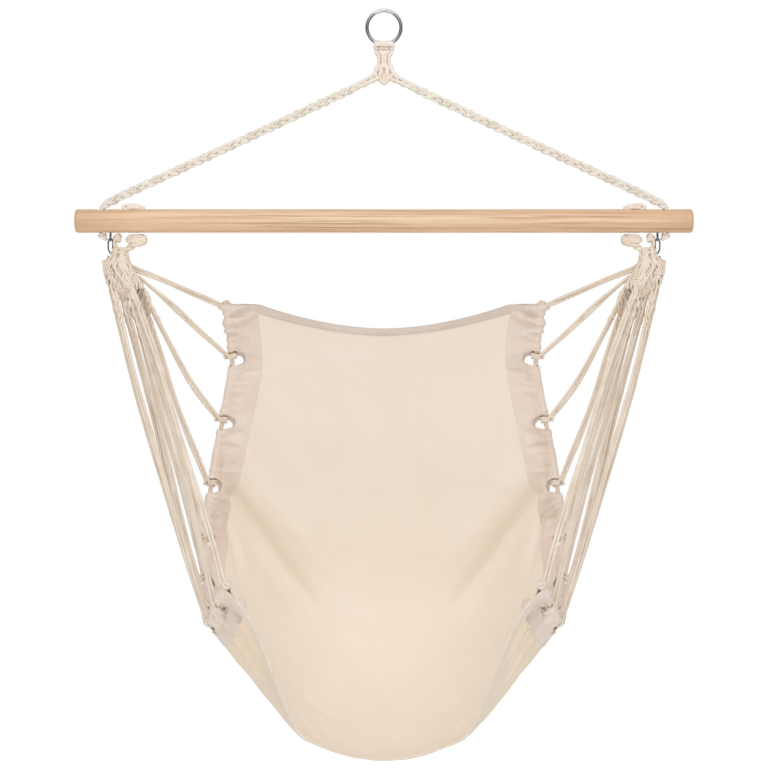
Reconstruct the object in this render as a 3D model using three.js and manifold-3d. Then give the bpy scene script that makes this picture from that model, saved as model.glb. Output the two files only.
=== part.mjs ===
// Free-hanging hammock chair: a cloth sling on a corded harness under a round wooden spreader bar,
// which hangs by two ropes and a knotted hanger from a steel ring.
// Millimetres, +Z up. The origin is the ring's inner top, where it bears on its hook.
// The chair's front faces -Y. Pieces on the -X side are called left; the right ones mirror them.

import * as THREE from 'three';
import { mergeVertices } from 'three/addons/utils/BufferGeometryUtils.js';
import Module from 'manifold-3d';

const wasm = await Module();
wasm.setup();

// Clearance between pieces that touch, and how far a cutting solid runs past what it cuts
const touchGap = 0.3;
const cutOverrun = 3;

// Hanging ring
const ringOuterDiameter = 61;
const ringWireDiameter = 6;

// Rope turns round the ring's bottom, with a short neck below them
const turnsThickness = 2.6;
const turnsWidth = 31;
const neckLength = 3;
const neckDepth = 12;

// Knotted hanger: a roll on which it swings, then knot, waist, lower knot and tip
const swingRollRadius = 5;
const hangerKnotWidth = 30;
const hangerKnotHeight = 5;
const hangerWaistWidth = 24;
const hangerWaistHeight = 11;
const hangerCoreWidth = 15;
const hangerDepthShare = 0.5;
const lowerKnotWidth = 29;
const lowerKnotHeight = 14.5;
const hangerTipHeight = 19;

// Main ropes
const mainRopeDiameter = 13;
const mainRopeBendRise = 13;
const mainRopeElbowRise = 5;
const mainRopeHoleSlack = 0.7;

// Spreader bar, with its axis this far below the ring's inner top
const barDrop = 338;
const barLength = 1000;
const barDiameter = 38;
const barEndRadius = 9;
const ropeHoleInset = 44;

// Stopper knot under each rope hole
const stopperKnotWidth = 15;
const stopperKnotHeight = 13;

// Screw eye beside the stopper knot, and the S-hook that hangs in it
const eyeInset = 57;
const eyeWireDiameter = 2.8;
const eyeBore = 5.6;
const eyeShankDiameter = 3.6;
const eyeShankDepth = 18;
const hookWireDiameter = 2.6;
const hookLoopWidth = 10;
const hookLength = 41;
const hookLowerLoopShare = 0.4;

// Rope turn that goes up through the bar, over its top and down again
const turnRopeDiameter = 9;
const turnNearInset = 106.5;
const turnFarInset = 82;
const turnBendRadius = 6.5;
const holeRimChamfer = 2.5;

// The seat tilts on an axis this far below the bar's underside
const seatPivotDrop = 10.1;

// Harness head: a gathered knot, with a neck, two short legs and a becket for the S-hook
const headInset = 69;
const headNeckDiameter = 24;
const headNeckTopDrop = 14;
const headShoulderDrop = 42;
const headShoulderHeight = 4;
const headDiameter = 45;
const headHeight = 35;
const headFlareWidth = 64;
const headFlareDepth = 46;
const headFlareShift = 14;
const legDiameter = 9;
const legKnotRadius = 7;
const legKnotLength = 14;
const barKnotLength = 36;
const barKnotShift = 4;
const becketDiameter = 3.4;
const becketSpread = 9;

// Sling: overall size, and where its top and front lie
const slingHalfSpan = 292.5;
const slingDepth = 465;
const slingHeight = 720;
const slingTopDrop = 101;
const slingFrontReach = 304;
const clothThickness = 4;
const hemHeight = 12;
const hemThickness = 6;
const sideBandWidth = 50;

// Edge rope inside each side channel, and the knots of the harness cords round it
const edgeRopeDiameter = 8;
const channelWall = 2.4;
const channelSlack = 0.5;
const edgeRopeTail = 14;
const cordDiameter = 7;
const cordKnotDiameter = 16;
const cordKnotLength = 11;
const cordKnotSlack = 0.7;
const cutOutReach = 21;
const cutOutSpare = 17;
const cutOutLead = 4;
const cordKnotPitch = 14;

// Shapes of the sling, from its top to its front, as shares of its span, depth and height
const edgeAcrossShares = [0.88, 0.858, 0.914, 0.972, 1, 0.985, 0.965, 0.92, 0.819];
const edgeBackShares = [0.796, 0.828, 0.85, 0.839, 0.774, 0.645, 0.473, 0.258, 0];
const edgeDropShares = [0.031, 0.135, 0.269, 0.402, 0.528, 0.615, 0.673, 0.697, 0.614];
const centreBackShares = [0.882, 0.927, 0.974, 0.994, 0.961, 0.854, 0.682, 0.432, 0.065];
const centreDropShares = [0.074, 0.211, 0.376, 0.544, 0.707, 0.834, 0.935, 1, 0.973];
const bellyPowerTop = 1.8;
const bellyPowerSeat = 2.35;
const frontWallShare = 0.62;
const frontWallFromShare = 0.72;
const wallFootShare = 0.55;
const wallRunShare = 0.5;

// Harness cords: each one's knot, as a share of the edge rope's length, and its start on the
// underside of the head's flare (shares of its half width and half depth), or on its flank
// (direction, and height as a share of the head's). The sag is in shares of the cord's length.
const cordTable = [
  { end: 'top', flankShares: [0.8, 0.6, 1], sagShares: [0, 0, 0.01] },
  { end: 0.084, flankShares: [0.95, 0.3, 0.6], sagShares: [0, 0, 0.005] },
  { end: 0.22, spotShares: [0.82, 0.12], sagShares: [-0.015, 0, -0.045] },
  { end: 0.356, spotShares: [0.58, 0.56], sagShares: [-0.012, 0, 0] },
  { end: 0.475, spotShares: [0.3, 0.76], sagShares: [0.012, 0, 0] },
  { end: 0.588, spotShares: [0.02, 0.44], sagShares: [0.006, 0, 0] },
  { end: 0.69, spotShares: [-0.36, 0.58], sagShares: [-0.004, 0, 0] },
  { end: 0.71, spotShares: [-0.26, 0.04], sagShares: [0.002, 0, 0] },
  { end: 0.795, spotShares: [-0.76, 0.1], sagShares: [-0.014, 0, 0] },
  { end: 0.815, spotShares: [-0.6, -0.48], sagShares: [-0.012, 0, 0] },
  { end: 0.925, spotShares: [0.12, -0.4], sagShares: [0.012, 0, 0] },
  { end: 'front', spotShares: [0.34, -0.74], sagShares: [0.01, 0, 0] },
];

// Facet counts
const ringFacets = 28;
const wireSides = 8;
const smallWireSides = 6;
const cordSides = 8;
const ropeSides = 10;
const roundSides = 16;
const barFacets = 24;
const mainRopeSteps = 26;
const hookSteps = 26;
const turnSteps = 24;
const cordStepShare = 13.5;
const cutOutSegments = 4;
const channelNoseSteps = 6;
const barEndSteps = 3;
const slingRows = 20;
const slingColumns = 16;

// Colours and surfaces
const looks = {
  steel: { color: 0xb9bcc0, roughness: 0.3, metalness: 1 },
  wood: { color: 0xddb892, roughness: 0.6, metalness: 0 },
  rope: { color: 0xe9dfcb, roughness: 0.95, metalness: 0 },
  cord: { color: 0xe6dac4, roughness: 0.95, metalness: 0 },
  cloth: { color: 0xf0e0cc, roughness: 0.95, metalness: 0 },
  band: { color: 0xe3d5c8, roughness: 0.95, metalness: 0 },
};

const chair = new THREE.Group();

function vec(x, y, z) {
  return new THREE.Vector3(x, y, z);
}

// Points, triangles and closed solids

function geometryFrom(points, triangles) {
  const geometry = new THREE.BufferGeometry();
  geometry.setAttribute('position', new THREE.Float32BufferAttribute(points.flatMap((p) => p.toArray()), 3));
  geometry.setIndex(triangles.flat());
  return geometry;
}

function signedVolume(points, triangles) {
  return triangles.reduce((sum, [a, b, c]) => {
    const cross = points[b].clone().cross(points[c]);
    return sum + points[a].dot(cross);
  }, 0);
}

function outwardGeometry(points, triangles) {
  const inside = signedVolume(points, triangles) < 0;
  return geometryFrom(points, inside ? triangles.map(([a, b, c]) => [a, c, b]) : triangles);
}

function bareGeometry(geometry) {
  const bare = geometry.clone();
  bare.deleteAttribute('normal');
  bare.deleteAttribute('uv');
  const merged = mergeVertices(bare);
  const index = Array.from(merged.index.array);
  const kept = [];
  for (let i = 0; i < index.length; i += 3) {
    const [a, b, c] = index.slice(i, i + 3);
    if (a !== b && b !== c && c !== a) {
      kept.push(a, b, c);
    }
  }
  merged.setIndex(kept);
  return merged;
}

function solidFrom(geometry) {
  const bare = bareGeometry(geometry);
  const vertProperties = new Float32Array(bare.attributes.position.array);
  const triVerts = new Uint32Array(bare.index.array);
  return new wasm.Manifold(new wasm.Mesh({ numProp: 3, vertProperties, triVerts }));
}

function geometryOfSolid(solid) {
  const mesh = solid.getMesh();
  const geometry = new THREE.BufferGeometry();
  geometry.setAttribute('position', new THREE.Float32BufferAttribute(mesh.vertProperties, 3));
  geometry.setIndex(Array.from(mesh.triVerts));
  return geometry;
}

function joined(...geometries) {
  return geometryOfSolid(geometries.map(solidFrom).reduce((sum, solid) => sum.add(solid)));
}

function cut(geometry, ...cutters) {
  return geometryOfSolid(cutters.map(solidFrom).reduce((rest, solid) => rest.subtract(solid), solidFrom(geometry)));
}

function mirrored(geometry) {
  const copy = bareGeometry(geometry);
  const place = copy.attributes.position;
  const index = copy.index.array;
  for (let i = 0; i < place.count; i += 1) {
    place.setX(i, -place.getX(i));
  }
  for (let i = 0; i < index.length; i += 3) {
    [index[i + 1], index[i + 2]] = [index[i + 2], index[i + 1]];
  }
  return copy;
}

function addPiece(name, geometry, look) {
  const clean = bareGeometry(geometry);
  clean.computeVertexNormals();
  const mesh = new THREE.Mesh(clean, new THREE.MeshStandardMaterial(looks[look]));
  mesh.name = name;
  chair.add(mesh);
}

function addPair(name, geometry, look) {
  addPiece(`${name}_left`, geometry, look);
  addPiece(`${name}_right`, mirrored(geometry), look);
}

// A solid through a row of closed sections with alike point counts; outline2d gives the caps
function loft(sections, outline2d) {
  const count = sections[0].length;
  const points = sections.flat();
  const triangles = [];
  for (let i = 0; i < sections.length - 1; i += 1) {
    for (let j = 0; j < count; j += 1) {
      const a = i * count + j;
      const b = i * count + (j + 1) % count;
      triangles.push([a, b, a + count], [b, b + count, a + count]);
    }
  }
  const last = (sections.length - 1) * count;
  for (const [a, b, c] of THREE.ShapeUtils.triangulateShape(outline2d, [])) {
    triangles.push([a, c, b], [last + a, last + b, last + c]);
  }
  return outwardGeometry(points, triangles);
}

function polygonOutline(radius, sides) {
  return Array.from({ length: sides }, (_, i) => {
    const angle = (i + 0.5) * 2 * Math.PI / sides;
    return new THREE.Vector2(radius * Math.cos(angle), radius * Math.sin(angle));
  });
}

// A round tube along a smooth curve through the points
function tubeAlong(points, radius, sides, steps) {
  const path = new THREE.CatmullRomCurve3(points, false, 'centripetal');
  const shape = new THREE.Shape(polygonOutline(radius, sides));
  return new THREE.ExtrudeGeometry(shape, { steps, extrudePath: path, bevelEnabled: false });
}

// A round bar between two points, whose inscribed radius is the one given where inscribed is set
function rodBetween(from, to, radius, sides, inscribed = false) {
  const reach = to.clone().sub(from);
  const outer = inscribed ? radius / Math.cos(Math.PI / sides) : radius;
  const rod = new THREE.CylinderGeometry(outer, outer, reach.length(), sides);
  rod.applyQuaternion(new THREE.Quaternion().setFromUnitVectors(vec(0, 1, 0), reach.clone().normalize()));
  const middle = from.clone().add(to).multiplyScalar(0.5);
  rod.translate(middle.x, middle.y, middle.z);
  return rod;
}

// A turned solid about a vertical axis: profile rows are [radius, height]
function turned(profile, sides) {
  const lathe = new THREE.LatheGeometry(profile.map(([r, z]) => new THREE.Vector2(r, z)), sides);
  lathe.rotateX(Math.PI / 2);
  return lathe;
}

// Hanging ring
const ringMeanRadius = (ringOuterDiameter - ringWireDiameter) / 2;
const ringInnerRadius = ringMeanRadius - ringWireDiameter / 2;
const ringCentreZ = -ringInnerRadius;

function hangingRing() {
  const ring = new THREE.TorusGeometry(ringMeanRadius, ringWireDiameter / 2, wireSides, ringFacets);
  ring.rotateX(Math.PI / 2);
  ring.translate(0, 0, ringCentreZ);
  return ring;
}

// Rope turns: a sleeve that follows the ring's bottom, and the neck under it
const turnsOuterRadius = ringWireDiameter / 2 + touchGap + turnsThickness;
const ringBottomZ = ringCentreZ - ringMeanRadius;
const neckBottomZ = ringBottomZ - turnsOuterRadius - neckLength;
const swingAxisZ = neckBottomZ - touchGap - swingRollRadius;

function arcSleeve(radius, halfAngle, steps) {
  const outline = polygonOutline(radius, ropeSides);
  const sections = Array.from({ length: steps + 1 }, (_, i) => {
    const angle = -halfAngle + 2 * halfAngle * i / steps;
    const outwards = vec(Math.sin(angle), 0, -Math.cos(angle));
    const centre = outwards.clone().multiplyScalar(ringMeanRadius).add(vec(0, 0, ringCentreZ));
    return outline.map((p) => centre.clone().addScaledVector(outwards, p.x).add(vec(0, p.y, 0)));
  });
  return loft(sections, outline);
}

function ringTurns() {
  const halfAngle = Math.asin(turnsWidth / 2 / ringMeanRadius);
  const overrunAngle = cutOverrun / ringMeanRadius;
  const steps = ringFacets / 4;
  const sleeve = arcSleeve(turnsOuterRadius, halfAngle, steps);
  const boreRadius = (ringWireDiameter / 2 + touchGap) / Math.cos(Math.PI / ropeSides);
  const bore = arcSleeve(boreRadius, halfAngle + overrunAngle, steps);
  const neckTopZ = ringBottomZ - ringWireDiameter / 2 - touchGap - turnsThickness / 2;
  const neck = new THREE.BoxGeometry(turnsWidth - 2 * turnsThickness, neckDepth, neckTopZ - neckBottomZ);
  neck.translate(0, 0, (neckTopZ + neckBottomZ) / 2);
  return cut(joined(sleeve, neck), bore);
}

// Knotted hanger
const hangerKnotTopZ = swingAxisZ - swingRollRadius * 0.15;
const hangerWaistTopZ = hangerKnotTopZ - hangerKnotHeight;
const lowerKnotTopZ = hangerWaistTopZ - hangerWaistHeight;
const lowerKnotBottomZ = lowerKnotTopZ - lowerKnotHeight;
const hangerTipZ = lowerKnotBottomZ - hangerTipHeight;

function hangerCore() {
  const knot = hangerKnotWidth / 2;
  const waist = hangerWaistWidth / 2;
  const core = hangerCoreWidth / 2;
  const column = turned([
    [0, hangerTipZ],
    [core * 0.7, hangerTipZ + core * 0.15],
    [core, hangerTipZ + core * 0.7],
    [core, lowerKnotTopZ],
    [waist, lowerKnotTopZ],
    [waist, hangerWaistTopZ],
    [knot, hangerWaistTopZ],
    [knot, hangerKnotTopZ],
    [0, hangerKnotTopZ],
  ], roundSides);
  column.scale(1, hangerDepthShare, 1);
  const rollHalf = knot - swingRollRadius / 2;
  const roll = rodBetween(vec(-rollHalf, 0, swingAxisZ), vec(rollHalf, 0, swingAxisZ), swingRollRadius, roundSides);
  return joined(column, roll);
}

function lowerKnot() {
  const outer = lowerKnotWidth / 2;
  const inner = hangerCoreWidth / 2;
  const top = lowerKnotTopZ - touchGap;
  const height = lowerKnotHeight - touchGap;
  const body = turned([
    [0, top - height],
    [outer * 0.8, top - height],
    [outer, top - height * 0.75],
    [outer, top - height * 0.25],
    [outer * 0.8, top],
    [0, top],
  ], roundSides);
  body.scale(1, (inner * hangerDepthShare + lowerKnotWidth * 0.15) / outer, 1);
  const bore = turned([
    [0, top - height - cutOverrun],
    [inner + 2 * touchGap, top - height - cutOverrun],
    [inner + 2 * touchGap, top + cutOverrun],
    [0, top + cutOverrun],
  ], roundSides);
  bore.scale(1, (inner * hangerDepthShare + touchGap) / (inner + 2 * touchGap), 1);
  return cut(body, bore);
}

// Spreader bar
const barRadius = barDiameter / 2;
const barTopZ = -barDrop + barRadius;
const barBottomZ = -barDrop - barRadius;
const ropeHoleX = -barLength / 2 + ropeHoleInset;
const eyeX = -barLength / 2 + eyeInset;
const turnOuterX = -barLength / 2 + turnFarInset;
const turnInnerX = -barLength / 2 + turnNearInset;

function spreaderBar() {
  const half = barLength / 2;
  const flatRadius = barRadius - barEndRadius;
  const profile = [[0, -half]];
  for (let i = 0; i <= barEndSteps; i += 1) {
    const angle = Math.PI / 2 * i / barEndSteps;
    profile.push([flatRadius + barEndRadius * Math.sin(angle), -half + barEndRadius * (1 - Math.cos(angle))]);
  }
  const ends = profile.slice(1).map(([r, z]) => [r, -z]).reverse();
  const bar = turned([...profile, ...ends, [0, half]], barFacets);
  bar.rotateY(Math.PI / 2);
  bar.rotateX(Math.PI / barFacets);
  bar.translate(0, 0, -barDrop);
  const above = barTopZ + cutOverrun;
  const below = barBottomZ - cutOverrun;
  const rim = (x, radius) => {
    const wide = radius + holeRimChamfer + cutOverrun;
    const low = barTopZ - holeRimChamfer;
    const cone = turned([[0, low], [radius, low], [wide, above], [0, above]], ropeSides);
    cone.translate(x, 0, 0);
    return cone;
  };
  const cutters = [-1, 1].flatMap((side) => [
    rodBetween(vec(side * -ropeHoleX, 0, below), vec(side * -ropeHoleX, 0, above),
      mainRopeDiameter / 2 + mainRopeHoleSlack, ropeSides, true),
    rodBetween(vec(side * -turnOuterX, 0, below), vec(side * -turnOuterX, 0, above),
      turnRopeDiameter / 2 + touchGap, cordSides, true),
    rodBetween(vec(side * -turnInnerX, 0, below), vec(side * -turnInnerX, 0, above),
      turnRopeDiameter / 2 + touchGap, cordSides, true),
    rodBetween(vec(side * -eyeX, 0, below), vec(side * -eyeX, 0, barBottomZ + eyeShankDepth + touchGap),
      eyeShankDiameter / 2 + touchGap, cordSides, true),
    rim(side * -turnOuterX, turnRopeDiameter / 2 + touchGap),
    rim(side * -turnInnerX, turnRopeDiameter / 2 + touchGap),
    rim(side * -ropeHoleX, mainRopeDiameter / 2 + mainRopeHoleSlack),
  ]);
  return cut(bar, ...cutters);
}

// Main rope: out from under the lower knot, straight to its bend over the bar and down the hole
const mainRopeRadius = mainRopeDiameter / 2;
const mainRopeStart = vec(
  -hangerCoreWidth / 2 - touchGap - mainRopeRadius * 0.45,
  0,
  lowerKnotBottomZ - touchGap - mainRopeRadius * 1.02,
);
const mainRopeBend = vec(ropeHoleX + 2 * mainRopeDiameter, 0, barTopZ + mainRopeRadius + mainRopeBendRise);

function mainRope() {
  const straight = mainRopeBend.clone().sub(mainRopeStart);
  const points = [0, 0.08, 0.3, 0.55, 0.8, 0.93].map((share) => {
    const sag = vec(0, 0, -4 * share * (1 - share) * mainRopeRadius * 0.2);
    return mainRopeStart.clone().addScaledVector(straight, share).add(sag);
  });
  points.push(
    vec(ropeHoleX + mainRopeDiameter * 0.9, 0, barTopZ + mainRopeRadius + mainRopeElbowRise),
    vec(ropeHoleX + mainRopeDiameter * 0.16, 0, barTopZ + mainRopeRadius * 0.8),
    vec(ropeHoleX, 0, barTopZ - mainRopeRadius * 0.4),
    vec(ropeHoleX, 0, barTopZ - mainRopeDiameter),
    vec(ropeHoleX, 0, -barDrop),
    vec(ropeHoleX, 0, barBottomZ + mainRopeRadius),
    vec(ropeHoleX, 0, barBottomZ),
  );
  return tubeAlong(points, mainRopeRadius, ropeSides, mainRopeSteps);
}

function stopperKnot() {
  const knot = new THREE.SphereGeometry(stopperKnotWidth / 2, ropeSides, smallWireSides);
  knot.rotateX(Math.PI / 2);
  knot.scale(1, 1, stopperKnotHeight / stopperKnotWidth);
  knot.translate(ropeHoleX, 0, barBottomZ - touchGap - stopperKnotHeight / 2);
  return knot;
}

// Screw eye and S-hook: the eye stands across the bar, the hook hangs in it in the bar's plane
const seatPivotZ = barBottomZ - seatPivotDrop;
const eyeMeanRadius = (eyeBore + eyeWireDiameter) / 2;
const eyeBottomZ = seatPivotZ - hookWireDiameter / 2 - touchGap - eyeWireDiameter / 2;
const eyeCentreZ = eyeBottomZ + eyeMeanRadius;

function screwEye() {
  const ring = new THREE.TorusGeometry(eyeMeanRadius, eyeWireDiameter / 2, smallWireSides, roundSides);
  ring.rotateY(Math.PI / 2);
  ring.translate(eyeX, 0, eyeCentreZ);
  const shankFoot = vec(eyeX, 0, eyeCentreZ + eyeMeanRadius);
  const shank = rodBetween(shankFoot, vec(eyeX, 0, barBottomZ + eyeShankDepth), eyeShankDiameter / 2, cordSides);
  return joined(ring, shank);
}

const hookTopZ = seatPivotZ;
const hookBottomZ = hookTopZ - hookLength + hookWireDiameter;
const hookReach = (hookLoopWidth - hookWireDiameter) / 2;

function sHook() {
  const length = hookTopZ - hookBottomZ;
  const lower = length * hookLowerLoopShare;
  const crossZ = hookBottomZ + lower;
  const at = (x, z) => vec(eyeX + x * hookReach, 0, z);
  const points = [
    at(0.85, crossZ + length * 0.15),
    at(1, crossZ + length * 0.35),
    at(0.75, hookTopZ - hookReach * 0.3),
    at(0, hookTopZ),
    at(-0.75, hookTopZ - hookReach * 0.3),
    at(-1, crossZ + length * 0.35),
    at(-0.8, crossZ + length * 0.12),
    at(0, crossZ),
    at(0.8, crossZ - length * 0.08),
    at(1, hookBottomZ + hookReach),
    at(0.7, hookBottomZ + hookReach * 0.25),
    at(0, hookBottomZ),
    at(-0.7, hookBottomZ + hookReach * 0.25),
    at(-1, hookBottomZ + hookReach),
    at(-0.95, crossZ - length * 0.12),
  ];
  return tubeAlong(points, hookWireDiameter / 2, smallWireSides, hookSteps);
}

// Rope turn over the bar: up through one hole, over the top and down through the other
const barKnotRadius = seatPivotDrop - touchGap;

function barTurn() {
  const radius = turnRopeDiameter / 2;
  const endZ = seatPivotZ + barKnotRadius + touchGap - seatPivotDrop * 0.02;
  const crestZ = barTopZ + radius + touchGap;
  const bend = turnBendRadius;
  const arcSteps = 3;
  const arc = Array.from({ length: arcSteps + 1 }, (_, i) => Math.PI / 2 * i / arcSteps);
  const rising = arc.map((angle) => vec(
    turnOuterX + bend * (1 - Math.cos(angle)),
    0,
    crestZ - bend * (1 - Math.sin(angle)),
  ));
  const falling = rising.map((p) => vec(turnOuterX + turnInnerX - p.x, 0, p.z)).reverse();
  const points = [
    vec(turnOuterX, 0, endZ),
    vec(turnOuterX, 0, -barDrop),
    vec(turnOuterX, 0, crestZ - 2 * bend),
    ...rising,
    ...falling,
    vec(turnInnerX, 0, crestZ - 2 * bend),
    vec(turnInnerX, 0, -barDrop),
    vec(turnInnerX, 0, endZ),
  ];
  return tubeAlong(points, radius, cordSides, turnSteps);
}

// Harness head with its legs, leg knots on the tilt axis and becket in the S-hook's lower loop
const headX = -barLength / 2 + headInset;
const headNeckTopZ = seatPivotZ - headNeckTopDrop;
const headShoulderZ = seatPivotZ - headShoulderDrop;
const headWideZ = headShoulderZ - headShoulderHeight;
const headBottomZ = headWideZ - headHeight;
const headRadius = headDiameter / 2;
const headNeckRadius = headNeckDiameter / 2;
const headNeckX = eyeX + hookLoopWidth / 2 + touchGap * 2 + headNeckRadius;

const unitRound = polygonOutline(1, roundSides);
const headSections = [
  { z: headBottomZ, x: headX + headFlareShift, halfWidth: headFlareWidth / 2, halfDepth: headFlareDepth / 2 },
  { z: headWideZ, x: headX, halfWidth: headRadius, halfDepth: headRadius },
  { z: headShoulderZ, x: headX, halfWidth: headRadius * 0.75, halfDepth: headRadius * 0.75 },
];

function lumpAlongX(fromX, length, radius) {
  const chamfer = radius * 0.3;
  const lump = turned([
    [0, 0],
    [radius - chamfer, 0],
    [radius, chamfer],
    [radius, length - chamfer],
    [radius - chamfer, length],
    [0, length],
  ], roundSides);
  lump.rotateY(Math.PI / 2);
  lump.translate(fromX, 0, seatPivotZ);
  return lump;
}

function harnessHead() {
  const neck = turned([
    [0, headWideZ],
    [headNeckRadius, headWideZ],
    [headNeckRadius, headNeckTopZ - headNeckRadius * 0.3],
    [headNeckRadius * 0.7, headNeckTopZ],
    [0, headNeckTopZ],
  ], roundSides);
  neck.translate(headNeckX, 0, 0);
  const body = loft(headSections.map((section) => {
    return unitRound.map((p) => vec(section.x + p.x * section.halfWidth, p.y * section.halfDepth, section.z));
  }), unitRound);
  const legRadius = legDiameter / 2;
  const legKnotX = eyeX + hookLoopWidth / 2 + touchGap * 2;
  const nearLeg = tubeAlong([
    vec(legKnotX + legKnotLength / 2, 0, seatPivotZ),
    vec(legKnotX + legKnotLength / 2, 0, (seatPivotZ + headNeckTopZ) / 2),
    vec(headNeckX - headNeckRadius * 0.3, 0, headNeckTopZ - legRadius),
  ], legRadius, cordSides, 4);
  const barKnotX = (turnOuterX + turnInnerX) / 2 - barKnotLength / 2 + barKnotShift;
  const farLeg = tubeAlong([
    vec(barKnotX + barKnotLength * 0.4, 0, seatPivotZ),
    vec(barKnotX + barKnotLength * 0.2, 0, (seatPivotZ * 0.4 + headNeckTopZ * 0.6)),
    vec(headNeckX + headNeckRadius * 0.2, 0, headNeckTopZ - legDiameter),
  ], legRadius, cordSides, 6);
  const seatZ = hookBottomZ + hookWireDiameter / 2 + 2 * touchGap + becketDiameter / 2;
  const becket = tubeAlong([
    vec(headX - headRadius * 0.3, -becketSpread * 0.9, headWideZ - becketDiameter),
    vec(eyeX, -becketSpread, headShoulderZ),
    vec(eyeX, -becketSpread * 0.6, seatZ - becketDiameter * 0.3),
    vec(eyeX, 0, seatZ),
    vec(eyeX, becketSpread * 0.6, seatZ - becketDiameter * 0.3),
    vec(eyeX, becketSpread, headShoulderZ),
    vec(headX - headRadius * 0.3, becketSpread * 0.9, headWideZ - becketDiameter),
  ], becketDiameter / 2, smallWireSides, 12);
  return joined(
    body,
    neck,
    lumpAlongX(legKnotX, legKnotLength, legKnotRadius),
    nearLeg,
    lumpAlongX(barKnotX, barKnotLength, barKnotRadius),
    farLeg,
    becket,
  );
}

// Sling: its edge line and centre line as smooth curves, and the stations along them
const slingTopZ = seatPivotZ - slingTopDrop;

function slingPoint(acrossShare, backShare, dropShare) {
  const y = -slingFrontReach + backShare * slingDepth;
  return vec(-acrossShare * slingHalfSpan, y, slingTopZ - dropShare * slingHeight);
}

const edgeCurve = new THREE.CatmullRomCurve3(
  edgeAcrossShares.map((across, i) => slingPoint(across, edgeBackShares[i], edgeDropShares[i])),
);
const centreCurve = new THREE.CatmullRomCurve3(
  centreBackShares.map((back, i) => slingPoint(0, back, centreDropShares[i])),
);

function smooth(share) {
  const t = Math.min(1, Math.max(0, share));
  return t * t * (3 - 2 * t);
}

// How far a cross-section has risen from the centre line, 0, to its edge, 1
function sectionRise(across, share) {
  const fullness = Math.min(1, share * 2, (1 - share) / (1 - frontWallFromShare));
  const power = bellyPowerTop + (bellyPowerSeat - bellyPowerTop) * fullness;
  const belly = Math.abs(across) ** power;
  const footRun = (1 - wallFootShare) / wallRunShare;
  const wall = smooth((Math.abs(across) - wallFootShare) / wallRunShare) / smooth(footRun);
  const front = frontWallShare * smooth((share - frontWallFromShare) / (1 - frontWallFromShare));
  return belly * (1 - front) + wall * front;
}

// Place, direction along the edge, direction inwards in the cloth and the seat side's normal
function edgeFrame(share) {
  const place = edgeCurve.getPointAt(share);
  const along = edgeCurve.getTangentAt(share);
  const centre = centreCurve.getPointAt(share);
  const nearEdge = 0.97;
  const slope = (1 - sectionRise(nearEdge, share)) / (1 - nearEdge);
  const inward = vec(-place.x, slope * (centre.y - place.y), slope * (centre.z - place.z));
  inward.addScaledVector(along, -inward.dot(along)).normalize();
  const face = along.clone().cross(inward).normalize();
  return { place, along, inward, face };
}

const stations = Array.from({ length: slingRows + 1 }, (_, i) => edgeFrame(i / slingRows));

function shifted(frame, distance) {
  return { ...frame, place: frame.place.clone().addScaledVector(frame.along, distance) };
}

const bandStations = [
  shifted(stations[0], -hemHeight),
  ...stations,
  shifted(stations[slingRows], hemHeight),
];
const ropeStations = [
  shifted(stations[0], -hemHeight - edgeRopeTail),
  ...bandStations,
  shifted(stations[slingRows], hemHeight + edgeRopeTail),
];

function inFrame(frame, inwards, faceways) {
  return frame.place.clone().addScaledVector(frame.inward, inwards).addScaledVector(frame.face, faceways);
}

function sweptSection(frames, outline) {
  return loft(frames.map((frame) => outline.map((p) => inFrame(frame, p.x, p.y))), outline);
}

// Edge rope
function edgeRope() {
  return sweptSection(ropeStations, polygonOutline(edgeRopeDiameter / 2, cordSides));
}

// A place on the sampled edge at a share of its length, so that knots sit on the rope's own facets
function sampledFrame(share) {
  const exact = share * slingRows;
  const low = Math.min(slingRows - 1, Math.floor(exact));
  const from = stations[low];
  const to = stations[low + 1];
  const blend = exact - low;
  const place = from.place.clone().lerp(to.place, blend);
  const along = to.place.clone().sub(from.place).normalize();
  const inward = from.inward.clone().lerp(to.inward, blend);
  inward.addScaledVector(along, -inward.dot(along)).normalize();
  return { place, along, inward, face: along.clone().cross(inward).normalize() };
}

function knotFrame(end) {
  const tailMiddle = hemHeight + touchGap + cordKnotLength / 2;
  if (end === 'top') {
    return shifted(stations[0], -tailMiddle);
  }
  if (end === 'front') {
    return shifted(stations[slingRows], tailMiddle);
  }
  return sampledFrame(end);
}

// Side channel: a gathered band with a sleeve for the edge rope, opened at each knot
const channelBoreRadius = edgeRopeDiameter / 2 + channelSlack;
const channelNoseRadius = channelBoreRadius + channelWall;

function channelOutline() {
  const half = clothThickness / 2;
  const start = Math.asin(half / channelNoseRadius);
  const nose = Array.from({ length: channelNoseSteps + 1 }, (_, i) => {
    const angle = start + (2 * Math.PI - 2 * start) * i / channelNoseSteps;
    return new THREE.Vector2(channelNoseRadius * Math.cos(angle), channelNoseRadius * Math.sin(angle));
  });
  return [new THREE.Vector2(sideBandWidth, half), ...nose, new THREE.Vector2(sideBandWidth, -half)];
}

function cutOut(frame, length) {
  const shape = new THREE.Shape();
  shape.absellipse(0, 0, cutOutReach, length / 2, 0, 2 * Math.PI, false, 0);
  const height = 2 * (channelNoseRadius + cutOverrun);
  const prism = new THREE.ExtrudeGeometry(shape, { depth: height, bevelEnabled: false, curveSegments: cutOutSegments });
  prism.translate(0, 0, -height / 2);
  const basis = new THREE.Matrix4().makeBasis(frame.inward, frame.along.clone().negate(), frame.face);
  basis.setPosition(frame.place);
  prism.applyMatrix4(basis);
  return prism;
}

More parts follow.
